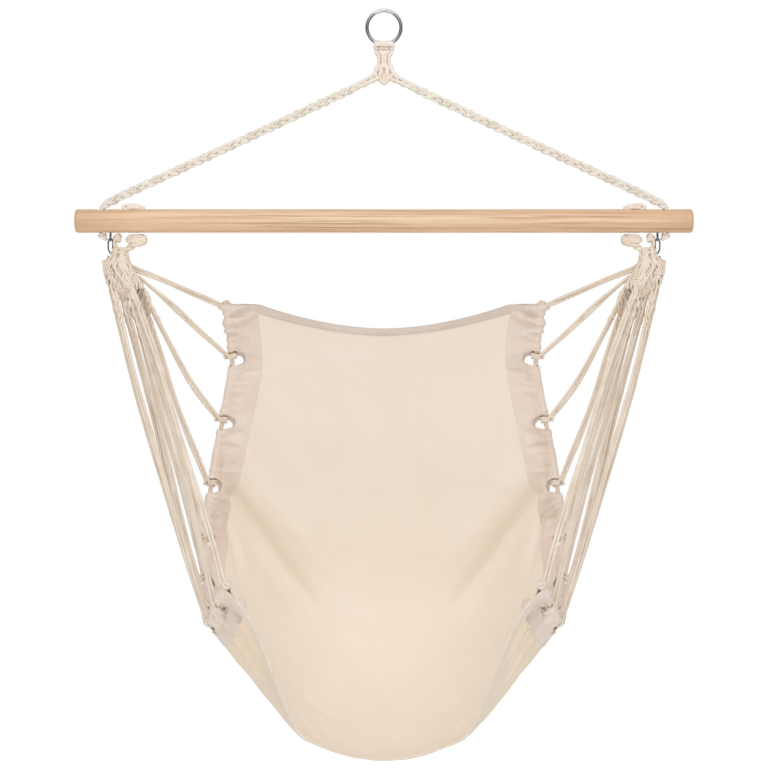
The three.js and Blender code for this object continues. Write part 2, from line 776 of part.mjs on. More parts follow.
function cutOuts() {
  const edgeLength = edgeCurve.getLength();
  const ends = cordTable.map((cord) => cord.end).filter((end) => typeof end === 'number');
  const groups = [];
  for (const end of ends) {
    const group = groups[groups.length - 1];
    if (group && (end - group[group.length - 1]) * edgeLength < 2 * cordKnotPitch) {
      group.push(end);
    } else {
      groups.push([end]);
    }
  }
  return groups.map((group) => {
    const from = group[0];
    const to = group[group.length - 1];
    const length = (to - from) * edgeLength + cordKnotLength + cutOutSpare;
    const middle = (from + to) / 2 + cutOutLead / edgeLength;
    return cutOut(sampledFrame(middle), length);
  });
}

function sideChannel() {
  const band = sweptSection(bandStations, channelOutline());
  const boreStations = [
    shifted(bandStations[0], -cutOverrun),
    ...bandStations,
    shifted(bandStations[bandStations.length - 1], cutOverrun),
  ];
  const bore = sweptSection(boreStations, polygonOutline(channelBoreRadius, cordSides));
  return cut(band, bore, ...cutOuts());
}

// Seat cloth: from each side band's inner edge down to the centre line and up again
const clothStart = sideBandWidth + touchGap;

function clothRow(frame, centre, share) {
  const corner = inFrame(frame, clothStart, 0);
  return Array.from({ length: slingColumns + 1 }, (_, j) => {
    const across = 2 * j / slingColumns - 1;
    const rise = sectionRise(across, share);
    return vec(
      corner.x * -across,
      centre.y + (corner.y - centre.y) * rise,
      centre.z + (corner.z - centre.z) * rise,
    );
  });
}

function clothGrid() {
  return stations.map((frame, i) => {
    const share = i / slingRows;
    return clothRow(frame, centreCurve.getPointAt(share), share);
  });
}

function mirroredX(vector) {
  return vec(-vector.x, vector.y, vector.z);
}

function gridNormals(grid, edgeFaces) {
  const lastRow = grid.length - 1;
  return grid.map((row, i) => row.map((_, j) => {
    if (j === 0) {
      return edgeFaces[i].clone();
    }
    if (j === row.length - 1) {
      return mirroredX(edgeFaces[i]);
    }
    const across = row[j + 1].clone().sub(row[j - 1]);
    const down = grid[Math.min(lastRow, i + 1)][j].clone().sub(grid[Math.max(0, i - 1)][j]);
    return down.cross(across).normalize();
  }));
}

// A sheet of one thickness on a grid of points with their normals
function slab(grid, normals, thickness) {
  const rows = grid.length;
  const columns = grid[0].length;
  const half = thickness / 2;
  const upper = grid.flatMap((row, i) => row.map((p, j) => p.clone().addScaledVector(normals[i][j], half)));
  const lower = grid.flatMap((row, i) => row.map((p, j) => p.clone().addScaledVector(normals[i][j], -half)));
  const offset = rows * columns;
  const triangles = [];
  const quad = (a, b, c, d) => triangles.push([a, b, c], [a, c, d]);
  for (let i = 0; i < rows - 1; i += 1) {
    for (let j = 0; j < columns - 1; j += 1) {
      const a = i * columns + j;
      quad(a, a + 1, a + columns + 1, a + columns);
      quad(offset + a, offset + a + columns, offset + a + columns + 1, offset + a + 1);
    }
  }
  const rim = [
    ...Array.from({ length: columns - 1 }, (_, j) => [j, j + 1]),
    ...Array.from({ length: rows - 1 }, (_, i) => [(i + 1) * columns - 1, (i + 2) * columns - 1]),
    ...Array.from({ length: columns - 1 }, (_, j) => [rows * columns - 1 - j, rows * columns - 2 - j]),
    ...Array.from({ length: rows - 1 }, (_, i) => [(rows - 1 - i) * columns, (rows - 2 - i) * columns]),
  ];
  for (const [a, b] of rim) {
    quad(b, a, offset + a, offset + b);
  }
  return outwardGeometry([...upper, ...lower], triangles);
}

function seatCloth() {
  const grid = clothGrid();
  return slab(grid, gridNormals(grid, stations.map((frame) => frame.face)), clothThickness);
}

// Hem: a strip past the first or last row of the cloth, between the side bands
function hem(rowIndex, direction) {
  const grid = clothGrid();
  const normals = gridNormals(grid, stations.map((frame) => frame.face));
  const row = grid[rowIndex];
  const next = grid[rowIndex - direction];
  const edgeAlong = stations[rowIndex].along.clone().multiplyScalar(direction);
  const ways = row.map((p, j) => {
    if (j === 0) {
      return edgeAlong;
    }
    if (j === row.length - 1) {
      return mirroredX(edgeAlong);
    }
    const rowWay = row[j + 1].clone().sub(row[j - 1]).normalize();
    const way = p.clone().sub(next[j]);
    return way.addScaledVector(rowWay, -way.dot(rowWay)).normalize();
  });
  const strips = [2 * touchGap, hemHeight].map((reach) => row.map((p, j) => p.clone().addScaledVector(ways[j], reach)));
  return slab(strips, [normals[rowIndex], normals[rowIndex]], hemThickness);
}

// Harness cord: from the head to its knot round the edge rope
function cordStart(cord) {
  const [low, wide] = headSections;
  if (cord.flankShares) {
    const [across, back, height] = cord.flankShares;
    const way = vec(across, back, 0).normalize();
    const blend = (key) => low[key] + (wide[key] - low[key]) * height;
    const rise = (key) => wide[key] - low[key];
    const spot = vec(blend('x') + way.x * blend('halfWidth'), way.y * blend('halfDepth'), blend('z'));
    const round = vec(-way.y * blend('halfWidth'), way.x * blend('halfDepth'), 0);
    const upward = vec(rise('x') + way.x * rise('halfWidth'), way.y * rise('halfDepth'), rise('z'));
    return { spot, normal: round.cross(upward).normalize() };
  }
  const [across, back] = cord.spotShares;
  return { spot: vec(low.x + across * low.halfWidth, back * low.halfDepth, low.z), normal: vec(0, 0, -1) };
}

function cordRoute(cord) {
  const frame = knotFrame(cord.end);
  const { spot, normal } = cordStart(cord);
  const end = frame.place.clone().addScaledVector(frame.inward, -cordKnotDiameter / 2);
  const reach = end.clone().sub(spot);
  const sag = vec(...cord.sagShares).multiplyScalar(reach.length());
  const leaving = reach.clone().addScaledVector(sag, 4).normalize();
  const lean = Math.sqrt(Math.max(0, 1 - leaving.dot(normal) ** 2));
  const start = spot.clone().addScaledVector(normal, touchGap + cordDiameter / 2 * lean);
  const points = [0, 0.2, 0.4, 0.6, 0.8, 1].map((share) => start.clone()
    .lerp(end, share)
    .addScaledVector(sag, 4 * share * (1 - share)));
  return { points, frame, length: reach.length() };
}

function harnessCord(cord) {
  const { points, frame, length } = cordRoute(cord);
  const steps = Math.max(5, Math.round(length / (cordStepShare * cordDiameter)));
  const tube = tubeAlong(points, cordDiameter / 2, cordSides, steps);
  const half = cordKnotLength / 2;
  const at = (reach) => frame.place.clone().addScaledVector(frame.along, reach);
  const knot = rodBetween(at(-half), at(half), cordKnotDiameter / 2, ropeSides);
  const bore = rodBetween(at(-half - cutOverrun), at(half + cutOverrun),
    edgeRopeDiameter / 2 + cordKnotSlack, cordSides, true);
  return cut(joined(tube, knot), bore);
}

addPiece('hanging_ring', hangingRing(), 'steel');
addPiece('ring_turns', ringTurns(), 'rope');
addPiece('hanger_core', hangerCore(), 'rope');
addPiece('lower_knot', lowerKnot(), 'rope');
addPiece('spreader_bar', spreaderBar(), 'wood');
addPair('main_rope', mainRope(), 'rope');
addPair('stopper_knot', stopperKnot(), 'rope');
addPair('screw_eye', screwEye(), 'steel');
addPair('s_hook', sHook(), 'steel');
addPair('bar_turn', barTurn(), 'rope');
addPair('harness_head', harnessHead(), 'rope');
cordTable.forEach((cord, i) => addPair(`harness_cord_${i + 1}`, harnessCord(cord), 'cord'));
addPair('edge_rope', edgeRope(), 'cord');
addPair('side_channel', sideChannel(), 'band');
addPiece('seat_cloth', seatCloth(), 'cloth');
addPiece('top_hem', hem(0, -1), 'band');
addPiece('front_hem', hem(slingRows, 1), 'band');

export default chair;
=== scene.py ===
# Free-hanging hammock chair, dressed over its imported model.
# Lengths in the settings are millimetres; the origin is the ring's inner top, +Z up, the front faces -Y.
import bisect
import math
import random

import bpy
import numpy as np
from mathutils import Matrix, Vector, noise


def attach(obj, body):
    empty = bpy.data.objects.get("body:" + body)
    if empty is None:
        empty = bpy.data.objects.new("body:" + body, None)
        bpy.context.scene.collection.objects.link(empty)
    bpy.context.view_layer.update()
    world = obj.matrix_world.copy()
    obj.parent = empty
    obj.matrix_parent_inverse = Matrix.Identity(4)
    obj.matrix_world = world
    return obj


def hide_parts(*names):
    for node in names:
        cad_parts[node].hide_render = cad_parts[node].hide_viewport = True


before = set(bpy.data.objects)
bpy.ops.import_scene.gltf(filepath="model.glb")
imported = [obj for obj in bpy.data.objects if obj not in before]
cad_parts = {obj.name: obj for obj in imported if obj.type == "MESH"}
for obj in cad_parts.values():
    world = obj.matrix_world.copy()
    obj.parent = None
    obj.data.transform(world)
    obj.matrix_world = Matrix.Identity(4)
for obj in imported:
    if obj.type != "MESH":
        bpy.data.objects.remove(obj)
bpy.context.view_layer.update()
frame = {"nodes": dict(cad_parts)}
mm = 0.001
up = Vector((0, 0, 1))
sideways = Vector((1, 0, 0))
fullTurn = 2 * math.pi
print("frame loaded:", len(frame["nodes"]), "nodes")


# camera
cameraSettings = {
    "distance": 4000,
    "height": -602,
    "widthAtAxis": 1244.2,  # what the picture spans at the chair's own plane
    "sensorWidth": 36,
}


def linkedObject(name, data):
    made = bpy.data.objects.new(name, data)
    bpy.context.scene.collection.objects.link(made)
    return made


def makeCamera(settings):
    data = bpy.data.cameras.new("camera")
    camera = linkedObject("camera", data)
    camera.location = (0, -settings["distance"] * mm, settings["height"] * mm)
    camera.rotation_euler = (math.pi / 2, 0, 0)
    data.sensor_width = settings["sensorWidth"]
    data.lens = settings["sensorWidth"] * settings["distance"] / settings["widthAtAxis"]
    data.clip_end = 50
    bpy.context.scene.camera = camera


makeCamera(cameraSettings)
print("camera made")


# smooth curves through points
def blendPoint(before, start, end, after, weight):
    gaps = [max((b - a).length, 1e-6) ** 0.5 for a, b in ((before, start), (start, end), (end, after))]
    leave = ((start - before) / gaps[0] - (end - before) / (gaps[0] + gaps[1])
             + (end - start) / gaps[1]) * gaps[1]
    arrive = ((end - start) / gaps[1] - (after - start) / (gaps[1] + gaps[2])
              + (after - end) / gaps[2]) * gaps[1]
    cubic = (start - end) * 2 + leave + arrive
    square = (end - start) * 3 - leave * 2 - arrive
    return start + leave * weight + square * weight ** 2 + cubic * weight ** 3


def makeLine(points, closed=False, fineness=24):
    points = [Vector(p) for p in points]
    count = len(points)
    places = []
    for i in range(count if closed else count - 1):
        start, end = points[i], points[(i + 1) % count]
        before = points[i - 1] if closed or i > 0 else start * 2 - end
        after = points[(i + 2) % count] if closed or i + 2 < count else end * 2 - start
        places += [blendPoint(before, start, end, after, k / fineness) for k in range(fineness)]
    places.append(points[0] if closed else points[-1])
    reaches = [0.0]
    for a, b in zip(places, places[1:]):
        reaches.append(reaches[-1] + (b - a).length)
    return {"places": places, "reaches": reaches, "length": reaches[-1]}


def lineAt(line, share):
    reaches, places = line["reaches"], line["places"]
    wanted = min(max(share, 0), 1) * line["length"]
    low = min(max(bisect.bisect_right(reaches, wanted) - 1, 0), len(reaches) - 2)
    span = reaches[low + 1] - reaches[low]
    return places[low].lerp(places[low + 1], (wanted - reaches[low]) / span if span else 0)


def lineWay(line, share):
    nudge = 0.0005
    return (lineAt(line, share + nudge) - lineAt(line, share - nudge)).normalized()


def lineRow(line, count):
    return [lineAt(line, i / (count - 1)) for i in range(count)]


def rowWay(row, i):
    return (row[min(i + 1, len(row) - 1)] - row[max(i - 1, 0)]).normalized()


def mirroredPoint(p):
    return Vector((-p.x, p.y, p.z))


def smoothRow(points, count, closed=False):
    line = makeLine(points, closed)
    return lineRow(line, count + 1)[:-1] if closed else lineRow(line, count)


# tubes, gathered in parts and then made one mesh
def newParts():
    return {"points": [], "faces": [], "uvs": []}


def turnedAside(way, aside):
    side = aside - way * aside.dot(way)
    return side.normalized() if side.length > 1e-6 else way.orthogonal().normalized()


# flat thins the tube across lead, radius and flat may follow the share of length,
# girth is what a turn spans in the UV map
def addTube(parts, path, radius, sides=8, flat=1.0, lead=None, closed=False, girth=1.0):
    count = len(path)
    base = len(parts["points"])
    side = way = None
    reach = 0.0
    reaches = []
    for i, place in enumerate(path):
        ahead = path[(i + 1) % count] if closed or i + 1 < count else place
        behind = path[i - 1] if closed or i > 0 else place
        way = (ahead - behind).normalized()
        if lead is not None:
            side = turnedAside(way, lead[i] if isinstance(lead, list) else lead)
        else:
            side = turnedAside(way, side if side else (up if abs(way.z) < 0.8 else sideways))
        cross = way.cross(side)
        share = i / max(1, count - 1)
        wide = radius(share) if callable(radius) else radius
        thin = flat(share) if callable(flat) else flat
        for k in range(sides):
            angle = fullTurn * k / sides
            parts["points"].append(place + side * math.cos(angle) * wide
                                   + cross * math.sin(angle) * wide * thin)
        reach += (place - behind).length if i else 0
        reaches.append(reach)
    rings = count if closed else count - 1
    for i in range(rings):
        after = (i + 1) % count
        far = reaches[after] if after else reach + (path[0] - path[-1]).length
        for k in range(sides):
            turn = (k + 1) % sides
            parts["faces"].append([base + i * sides + k, base + i * sides + turn,
                                   base + after * sides + turn, base + after * sides + k])
            near, beyond = k / sides * girth, (k + 1) / sides * girth
            parts["uvs"].append([(near, reaches[i] * mm), (beyond, reaches[i] * mm), (beyond, far * mm),
                                 (near, far * mm)])
    if not closed:
        for i, turnRound in ((0, True), (count - 1, False)):
            ring = [base + i * sides + k for k in range(sides)]
            parts["faces"].append(ring[::-1] if turnRound else ring)
            parts["uvs"].append([(0.5, reaches[i] * mm)] * sides)


def mirroredParts(parts):
    return {
        "points": [mirroredPoint(p) for p in parts["points"]],
        "faces": [face[::-1] for face in parts["faces"]],
        "uvs": [row[::-1] for row in parts["uvs"]],
    }


def makePiece(name, parts, material):
    mesh = bpy.data.meshes.new(name)
    mesh.from_pydata([p * mm for p in parts["points"]], [], parts["faces"])
    layer = mesh.uv_layers.new(name="length")
    layer.data.foreach_set("uv", [value for row in parts["uvs"] for pair in row for value in pair])
    mesh.polygons.foreach_set("use_smooth", [True] * len(mesh.polygons))
    mesh.update()
    piece = linkedObject(name, mesh)
    mesh.materials.append(material)
    return piece


def dress(piece, body, slot, *nodes):
    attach(piece, body)
    if nodes:
        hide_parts(*nodes)
    return piece


def makePair(name, parts, material, body, slot, node=None):
    pair = []
    for side, made in (("left", parts), ("right", mirroredParts(parts))):
        piece = makePiece(f"{name}_{side}", made, material)
        dress(piece, body, slot, *([f"{node}_{side}"] if node else []))
        pair.append(piece)
    return pair


# materials
socketKinds = {"UV": "Vector", "Place": "Vector", "Light": "Color", "Dark": "Color", "Color": "Color"}


# a node group with these inputs and their values, and its own two ends
def groupTree(name, inputs, outputs):
    tree = bpy.data.node_groups.new(name, "ShaderNodeTree")
    for direction, labels in (("INPUT", inputs), ("OUTPUT", outputs)):
        for label in labels:
            kind = "NodeSocket" + socketKinds.get(label, "Float")
            socket = tree.interface.new_socket(label, in_out=direction, socket_type=kind)
            if direction == "INPUT" and inputs[label] is not None:
                socket.default_value = inputs[label]
    return tree, tree.nodes.new("NodeGroupInput").outputs, tree.nodes.new("NodeGroupOutput").inputs


# links fill a node's inputs in order, values set its fields or named inputs
def node(tree, kind, *links, **values):
    made = tree.nodes.new("ShaderNode" + kind)
    for key, value in values.items():
        if hasattr(made, key):
            setattr(made, key, value)
        else:
            made.inputs[key.replace("_", " ")].default_value = value
    for i, link in enumerate(links):
        if link is None:
            continue
        if isinstance(link, (int, float, tuple)):
            made.inputs[i].default_value = link
        else:
            tree.links.new(link, made.inputs[i])
    return made


def calc(tree, operation, *terms):
    return node(tree, "Math", *terms, operation=operation).outputs[0]


def scaled(tree, vector, amounts):
    return node(tree, "VectorMath", vector, amounts, operation="MULTIPLY").outputs[0]


def cloudy(tree, vector, scale, detail=3.0, roughness=0.5):
    made = node(tree, "TexNoise", vector, Scale=scale, Detail=detail, Roughness=roughness)
    return made.outputs[0]


# a written colour as the linear values that a shader takes
def rgb(code):
    parts = [int(code[i:i + 2], 16) / 255 for i in (0, 2, 4)]
    return tuple(p / 12.92 if p <= 0.04045 else ((p + 0.055) / 1.055) ** 2.4 for p in parts) + (1.0,)


# plain weave in metres of cloth: thread relief, and slubs that tint it
def buildWeaveGroup():
    tree, given, out = groupTree("plainWeave", {"UV": None, "Pitch": 0.0011, "Slub": 0.05},
                                 ("Height", "Tint"))
    axes = node(tree, "SeparateXYZ", given["UV"])
    turns = [calc(tree, "SINE", calc(tree, "DIVIDE", calc(tree, "MULTIPLY", axis, fullTurn), given["Pitch"]))
             for axis in axes.outputs[:2]]
    weave = calc(tree, "MULTIPLY", turns[0], turns[1])
    warp = cloudy(tree, scaled(tree, given["UV"], (900, 14, 1)), 1.0, 2.0)
    weft = cloudy(tree, scaled(tree, given["UV"], (14, 900, 1)), 1.0, 2.0)
    slub = calc(tree, "SUBTRACT", calc(tree, "ADD", warp, weft), 1.0)
    relief = calc(tree, "ADD", calc(tree, "MULTIPLY", weave, 0.35), calc(tree, "ADD", slub, 0.5))
    tree.links.new(relief, out["Height"])
    tint = calc(tree, "ADD", 1.0, calc(tree, "MULTIPLY", slub, given["Slub"]))
    tree.links.new(tint, out["Tint"])
    return tree


# plies that turn round a strand: u is one turn round it, v metres along it; the second output marks the
# grooves between plies for painted shade
def buildTwistGroup():
    tree, given, out = groupTree("strandTwist", {"UV": None, "Plies": 3.0, "Pitch": 0.012},
                                 ("Height", "GrooveShade"))
    axes = node(tree, "SeparateXYZ", given["UV"])
    around, along = [calc(tree, "MULTIPLY", axis, given["Plies"]) for axis in axes.outputs[:2]]
    phase = calc(tree, "ADD", around, calc(tree, "DIVIDE", along, given["Pitch"]))
    ply = calc(tree, "ABSOLUTE", calc(tree, "SINE", calc(tree, "MULTIPLY", phase, math.pi)))
    fibre = cloudy(tree, scaled(tree, given["UV"], (30, 500, 1)), 1.0, 3.0)
    tree.links.new(calc(tree, "ADD", ply, calc(tree, "MULTIPLY", fibre, 0.25)), out["Height"])
    # painted shade: 1 in the grooves between plies, 0 on their crowns
    grooveShade = node(tree, "MapRange", ply, 0.0, 0.45, 1.0, 0.0)
    tree.links.new(grooveShade.outputs[0], out["GrooveShade"])
    return tree


# a row of stitches at one reach across the cloth, in metres
def buildStitchGroup():
    tree, given, out = groupTree("stitchRow", {"UV": None, "Reach": 0.04, "Step": 0.0042}, ("Mask",))
    axes = node(tree, "SeparateXYZ", given["UV"])
    gap = calc(tree, "ABSOLUTE", calc(tree, "SUBTRACT", axes.outputs[0], given["Reach"]))
    line = calc(tree, "LESS_THAN", gap, 0.00055)
    steps = calc(tree, "DIVIDE", calc(tree, "MULTIPLY", axes.outputs[1], fullTurn), given["Step"])
    dash = calc(tree, "GREATER_THAN", calc(tree, "SINE", steps), -0.4)
    tree.links.new(calc(tree, "MULTIPLY", line, dash), out["Mask"])
    return tree


# soft mottling between two colours over the whole piece
def buildToneGroup():
    tree, given, out = groupTree("softMottle", {"Place": None, "Light": None, "Dark": None, "Scale": 14.0},
                                 ("Color",))
    cloud = node(tree, "TexNoise", given["Place"], None, given["Scale"], Detail=4.0)
    share = node(tree, "MapRange", cloud.outputs[0], 0.35, 0.7, 0.0, 1.0)
    mix = node(tree, "MixRGB", share.outputs[0], given["Light"], given["Dark"])
    tree.links.new(mix.outputs[0], out["Color"])
    return tree


weaveGroup = buildWeaveGroup()
twistGroup = buildTwistGroup()
stitchGroup = buildStitchGroup()
toneGroup = buildToneGroup()


def placed(tree, group, **values):
    made = tree.nodes.new("ShaderNodeGroup")
    made.node_tree = group
    for key, value in values.items():
        if isinstance(value, bpy.types.NodeSocket):
            tree.links.new(value, made.inputs[key])
        else:
            made.inputs[key].default_value = value
    return made


def startMaterial(name, **values):
    material = bpy.data.materials.new(name)
    material.use_nodes = True
    tree = material.node_tree
    shader = tree.nodes["Principled BSDF"]
    for key, value in values.items():
        shader.inputs[key.replace("_", " ")].default_value = value
    return material, tree, shader


def addBump(tree, shader, height, **values):
    bump = node(tree, "Bump", **values)
    tree.links.new(height, bump.inputs["Height"])
    tree.links.new(bump.outputs[0], shader.inputs["Normal"])


def mottled(tree, place, settings):
    return placed(tree, toneGroup, Place=place, Light=rgb(settings["light"]), Dark=rgb(settings["dark"]),
                  Scale=settings["mottle"]).outputs[0]


# one colour over another where the mask runs from low to high
def overlaid(tree, mask, span, under, over):
    low, high, most = span
    share = node(tree, "MapRange", mask, low, high, 0.0, most)
    return node(tree, "MixRGB", share.outputs[0], under, over).outputs[0]


def clothMaterial(name, settings):
    material, tree, shader = startMaterial(name, Roughness=0.92, Specular_IOR_Level=0.15, Sheen_Weight=0.25,
                                           Sheen_Roughness=0.6)
    coordinates = node(tree, "TexCoord")
    weave = placed(tree, weaveGroup, UV=coordinates.outputs["UV"], Pitch=settings["threadPitch"] * mm,
                   Slub=settings["slub"])
    tone = mottled(tree, coordinates.outputs["Object"], settings)
    tinted = node(tree, "VectorMath", tone, operation="SCALE")
    tree.links.new(weave.outputs["Tint"], tinted.inputs["Scale"])
    colour = tinted.outputs[0]
    height = weave.outputs["Height"]
    for reach in settings["stitches"]:
        row = placed(tree, stitchGroup, UV=coordinates.outputs["UV"], Reach=reach * mm)
        colour = node(tree, "MixRGB", row.outputs[0], colour, rgb(settings["thread"])).outputs[0]
        height = calc(tree, "ADD", height, calc(tree, "MULTIPLY", row.outputs[0], 2.0))
    tree.links.new(colour, shader.inputs["Base Color"])
    addBump(tree, shader, height, Strength=settings["relief"], Distance=0.0003)
    return material


def ropeMaterial(name, settings):
    material, tree, shader = startMaterial(name, Roughness=0.9, Specular_IOR_Level=0.15, Sheen_Weight=0.1,
                                           Sheen_Roughness=0.5)
    coordinates = node(tree, "TexCoord")
    twist = placed(tree, twistGroup, UV=coordinates.outputs["UV"], Plies=settings["plies"],
                   Pitch=settings["pitch"] * mm)
    tone = mottled(tree, coordinates.outputs["Object"], settings)
    # painted shade: the grooves between plies are darkened towards the groove colour
    grooveShade = calc(tree, "MULTIPLY", twist.outputs["GrooveShade"], settings["grooveShadeAmount"])
    colour = node(tree, "MixRGB", grooveShade, tone, rgb(settings["grooveShade"]))
    tree.links.new(colour.outputs[0], shader.inputs["Base Color"])
    addBump(tree, shader, twist.outputs["Height"], Strength=0.7, Distance=settings["relief"] * mm)
    return material


def woodMaterial(name, settings):
    material, tree, shader = startMaterial(name)
    place = node(tree, "TexCoord").outputs["Object"]
    broad = cloudy(tree, scaled(tree, place, (1.6, 70, 55)), 1.0, 4.0, 0.6)
    fine = cloudy(tree, scaled(tree, place, (9, 900, 700)), 1.0, 3.0, 0.65)
    streak = cloudy(tree, scaled(tree, place, (3.2, 260, 190)), 1.0, 5.0, 0.7)
    tone = overlaid(tree, broad, (0.35, 0.66, 1.0), rgb(settings["light"]), rgb(settings["middle"]))
    grain = overlaid(tree, streak, (0.48, 0.7, 0.85), tone, rgb(settings["grain"]))
    pores = overlaid(tree, fine, (0.6, 0.78, 0.6), grain, rgb(settings["pore"]))
    along = calc(tree, "ABSOLUTE", node(tree, "SeparateXYZ", place).outputs[0])
    ends = overlaid(tree, along, (0.40, 0.5, settings["endDark"]), pores, rgb(settings["end"]))
    tree.links.new(ends, shader.inputs["Base Color"])
    rough = node(tree, "MapRange", streak, 0.3, 0.8, 0.5, 0.72)
    tree.links.new(rough.outputs[0], shader.inputs["Roughness"])
    addBump(tree, shader, calc(tree, "ADD", fine, streak), Strength=0.35, Distance=0.0004)
    return material


def steelMaterial(name, settings):
    material, tree, shader = startMaterial(name, Metallic=1.0)
    place = node(tree, "TexCoord").outputs["Object"]
    tree.links.new(mottled(tree, place, settings), shader.inputs["Base Color"])
    scratches = cloudy(tree, scaled(tree, place, (900, 900, 300)), 1.0, 2.0)
    rough = node(tree, "MapRange", scratches, 0.3, 0.7, settings["smooth"], settings["rough"])
    tree.links.new(rough.outputs[0], shader.inputs["Roughness"])
    addBump(tree, shader, scratches, Strength=0.12, Distance=0.0001)
    return material


canvasWeave = {"mottle": 5.0, "threadPitch": 1.1, "slub": 0.045, "relief": 0.35, "stitches": []}
tapeWeave = {"mottle": 16.0, "threadPitch": 1.0, "slub": 0.05, "relief": 0.4, "stitches": []}
canvas = clothMaterial("creamCanvas", {**canvasWeave, "light": "F5E9DB", "dark": "F1E4D3"})
# painted light: the outer side of the same canvas, tinted warmer for light that shines through the cloth
litThroughCanvas = clothMaterial("creamCanvasOuterLitThrough", {**canvasWeave, "light": "F8E5CE", "dark": "F1DCC1"})
tape = clothMaterial("greyBeigeTape", {
    **tapeWeave, "light": "EFE0D4", "dark": "E5D3C5", "thread": "E6D9CB", "stitches": [47.5, 8.5],
})
hemTape = clothMaterial("hemTape", {**tapeWeave, "light": "E2D4C9", "dark": "D9C9BC"})
frontTape = clothMaterial("frontHemTape", {**tapeWeave, "light": "F1E3D2", "dark": "EAD9C6"})
# each rope's groove colour is painted shade between its plies
thickCotton = ropeMaterial("thickCottonStrand", {
    "light": "F2EBE0", "dark": "E7DDCD", "grooveShade": "CBBFAA", "mottle": 40.0,
    "plies": 3.0, "pitch": 15, "relief": 0.3, "grooveShadeAmount": 0.22,
})
thinCotton = ropeMaterial("thinCottonStrand", {
    "light": "F3E6D7", "dark": "E7D7C4", "grooveShade": "CFBDA4", "mottle": 30.0,
    "plies": 3.0, "pitch": 12, "relief": 0.3, "grooveShadeAmount": 0.32,
})
softCotton = ropeMaterial("softCottonStrand", {
    "light": "F4E7DC", "dark": "EBDCCD", "grooveShade": "CFC0AC", "mottle": 40.0,
    "plies": 3.0, "pitch": 22, "relief": 0.1, "grooveShadeAmount": 0.12,
})
lightWood = woodMaterial("sandedHardwood", {
    "light": "ECCDAA", "middle": "DFB68F", "grain": "A97A5B", "pore": "724B39", "end": "C99E78",
    "endDark": 0.5,
})
brightSteel = steelMaterial("brightWire", {
    "light": "ABADB1", "dark": "8C8E93", "mottle": 60.0, "smooth": 0.1, "rough": 0.2,
})
dullSteel = steelMaterial("dullWire", {
    "light": "85878B", "dark": "5F6166", "mottle": 60.0, "smooth": 0.16, "rough": 0.3,
})
print("materials made")

# places that the record's solids have, in millimetres, and how the bar's holes are cut
barSettings = {
    "drop": 338, "length": 1000, "diameter": 38, "endRadius": 4.5,
    "ropeHoleInset": 44, "ropeHoleRadius": 7.2, "turnInsets": (82, 106.5), "turnHoleRadius": 4.8,
    "holeSides": 36, "cutterSpare": 8, "rimDepth": 3.2, "rimSink": 0.9, "rimFrom": 0.2, "rimTo": 3.4,
}
barTop = -barSettings["drop"] + barSettings["diameter"] / 2
barBottom = -barSettings["drop"] - barSettings["diameter"] / 2
ropeHoleX = -barSettings["length"] / 2 + barSettings["ropeHoleInset"]
turnXs = [-barSettings["length"] / 2 + inset for inset in barSettings["turnInsets"]]
eyeX = -443
seatPivot = barBottom - 10.1

headSettings = {
    "x": -431, "wide": seatPivot - 46, "bottom": seatPivot - 81,
    "radius": 22.5, "flareHalfWidth": 32, "flareHalfDepth": 23, "flareShift": 14,
}

slingSettings = {
    "halfSpan": 292.5, "depth": 465, "height": 720, "top": seatPivot - 101, "frontReach": 304,
    "edgeAcross": [0.88, 0.858, 0.914, 0.972, 1, 0.985, 0.965, 0.92, 0.819],
    "edgeBack": [0.796, 0.828, 0.85, 0.839, 0.774, 0.645, 0.473, 0.258, 0],
    "edgeDrop": [0.031, 0.135, 0.269, 0.402, 0.528, 0.615, 0.673, 0.697, 0.614],
    "centreBack": [0.882, 0.927, 0.974, 0.994, 0.961, 0.854, 0.682, 0.432, 0.065],
    "centreDrop": [0.074, 0.211, 0.376, 0.544, 0.707, 0.834, 0.935, 1, 0.973],
    "powerTop": 1.8, "powerSeat": 2.35,
    "frontWall": 0.62, "wallFrom": 0.72, "wallFoot": 0.55, "wallRun": 0.5,
    "hemHeight": 12, "bandWidth": 50, "bandSpread": 220, "knotPast": 5.8, "ropeTail": 14,
}


def slingPoint(across, back, drop):
    s = slingSettings
    return Vector((-across * s["halfSpan"], -s["frontReach"] + back * s["depth"],
                   s["top"] - drop * s["height"]))


edgeLine = makeLine([slingPoint(*row) for row in zip(
    slingSettings["edgeAcross"], slingSettings["edgeBack"], slingSettings["edgeDrop"])])
centreLine = makeLine([slingPoint(0, *row)
                       for row in zip(slingSettings["centreBack"], slingSettings["centreDrop"])])


def smooth(share):
    t = min(1, max(0, share))
    return t * t * (3 - 2 * t)


def sectionRise(across, share):
    s = slingSettings
    fullness = min(1, share * 2, (1 - share) / (1 - s["wallFrom"]))
    belly = abs(across) ** (s["powerTop"] + (s["powerSeat"] - s["powerTop"]) * fullness)
    wall = smooth((abs(across) - s["wallFoot"]) / s["wallRun"]) / smooth((1 - s["wallFoot"]) / s["wallRun"])
    front = s["frontWall"] * smooth((share - s["wallFrom"]) / (1 - s["wallFrom"]))
    return belly * (1 - front) + wall * front


def edgeFrame(share, shift=0):
    place, along, centre = lineAt(edgeLine, share), lineWay(edgeLine, share), lineAt(centreLine, share)
    slope = (1 - sectionRise(0.97, share)) / 0.03
    inward = Vector((-place.x, slope * (centre.y - place.y), slope * (centre.z - place.z)))
    inward = (inward - along * inward.dot(along)).normalized()
    return {"place": place + along * shift, "along": along, "inward": inward,
            "face": along.cross(inward).normalized()}


def inFrame(frame, inwards, faceways, along=0):
    return frame["place"] + frame["inward"] * inwards + frame["face"] * faceways + frame["along"] * along


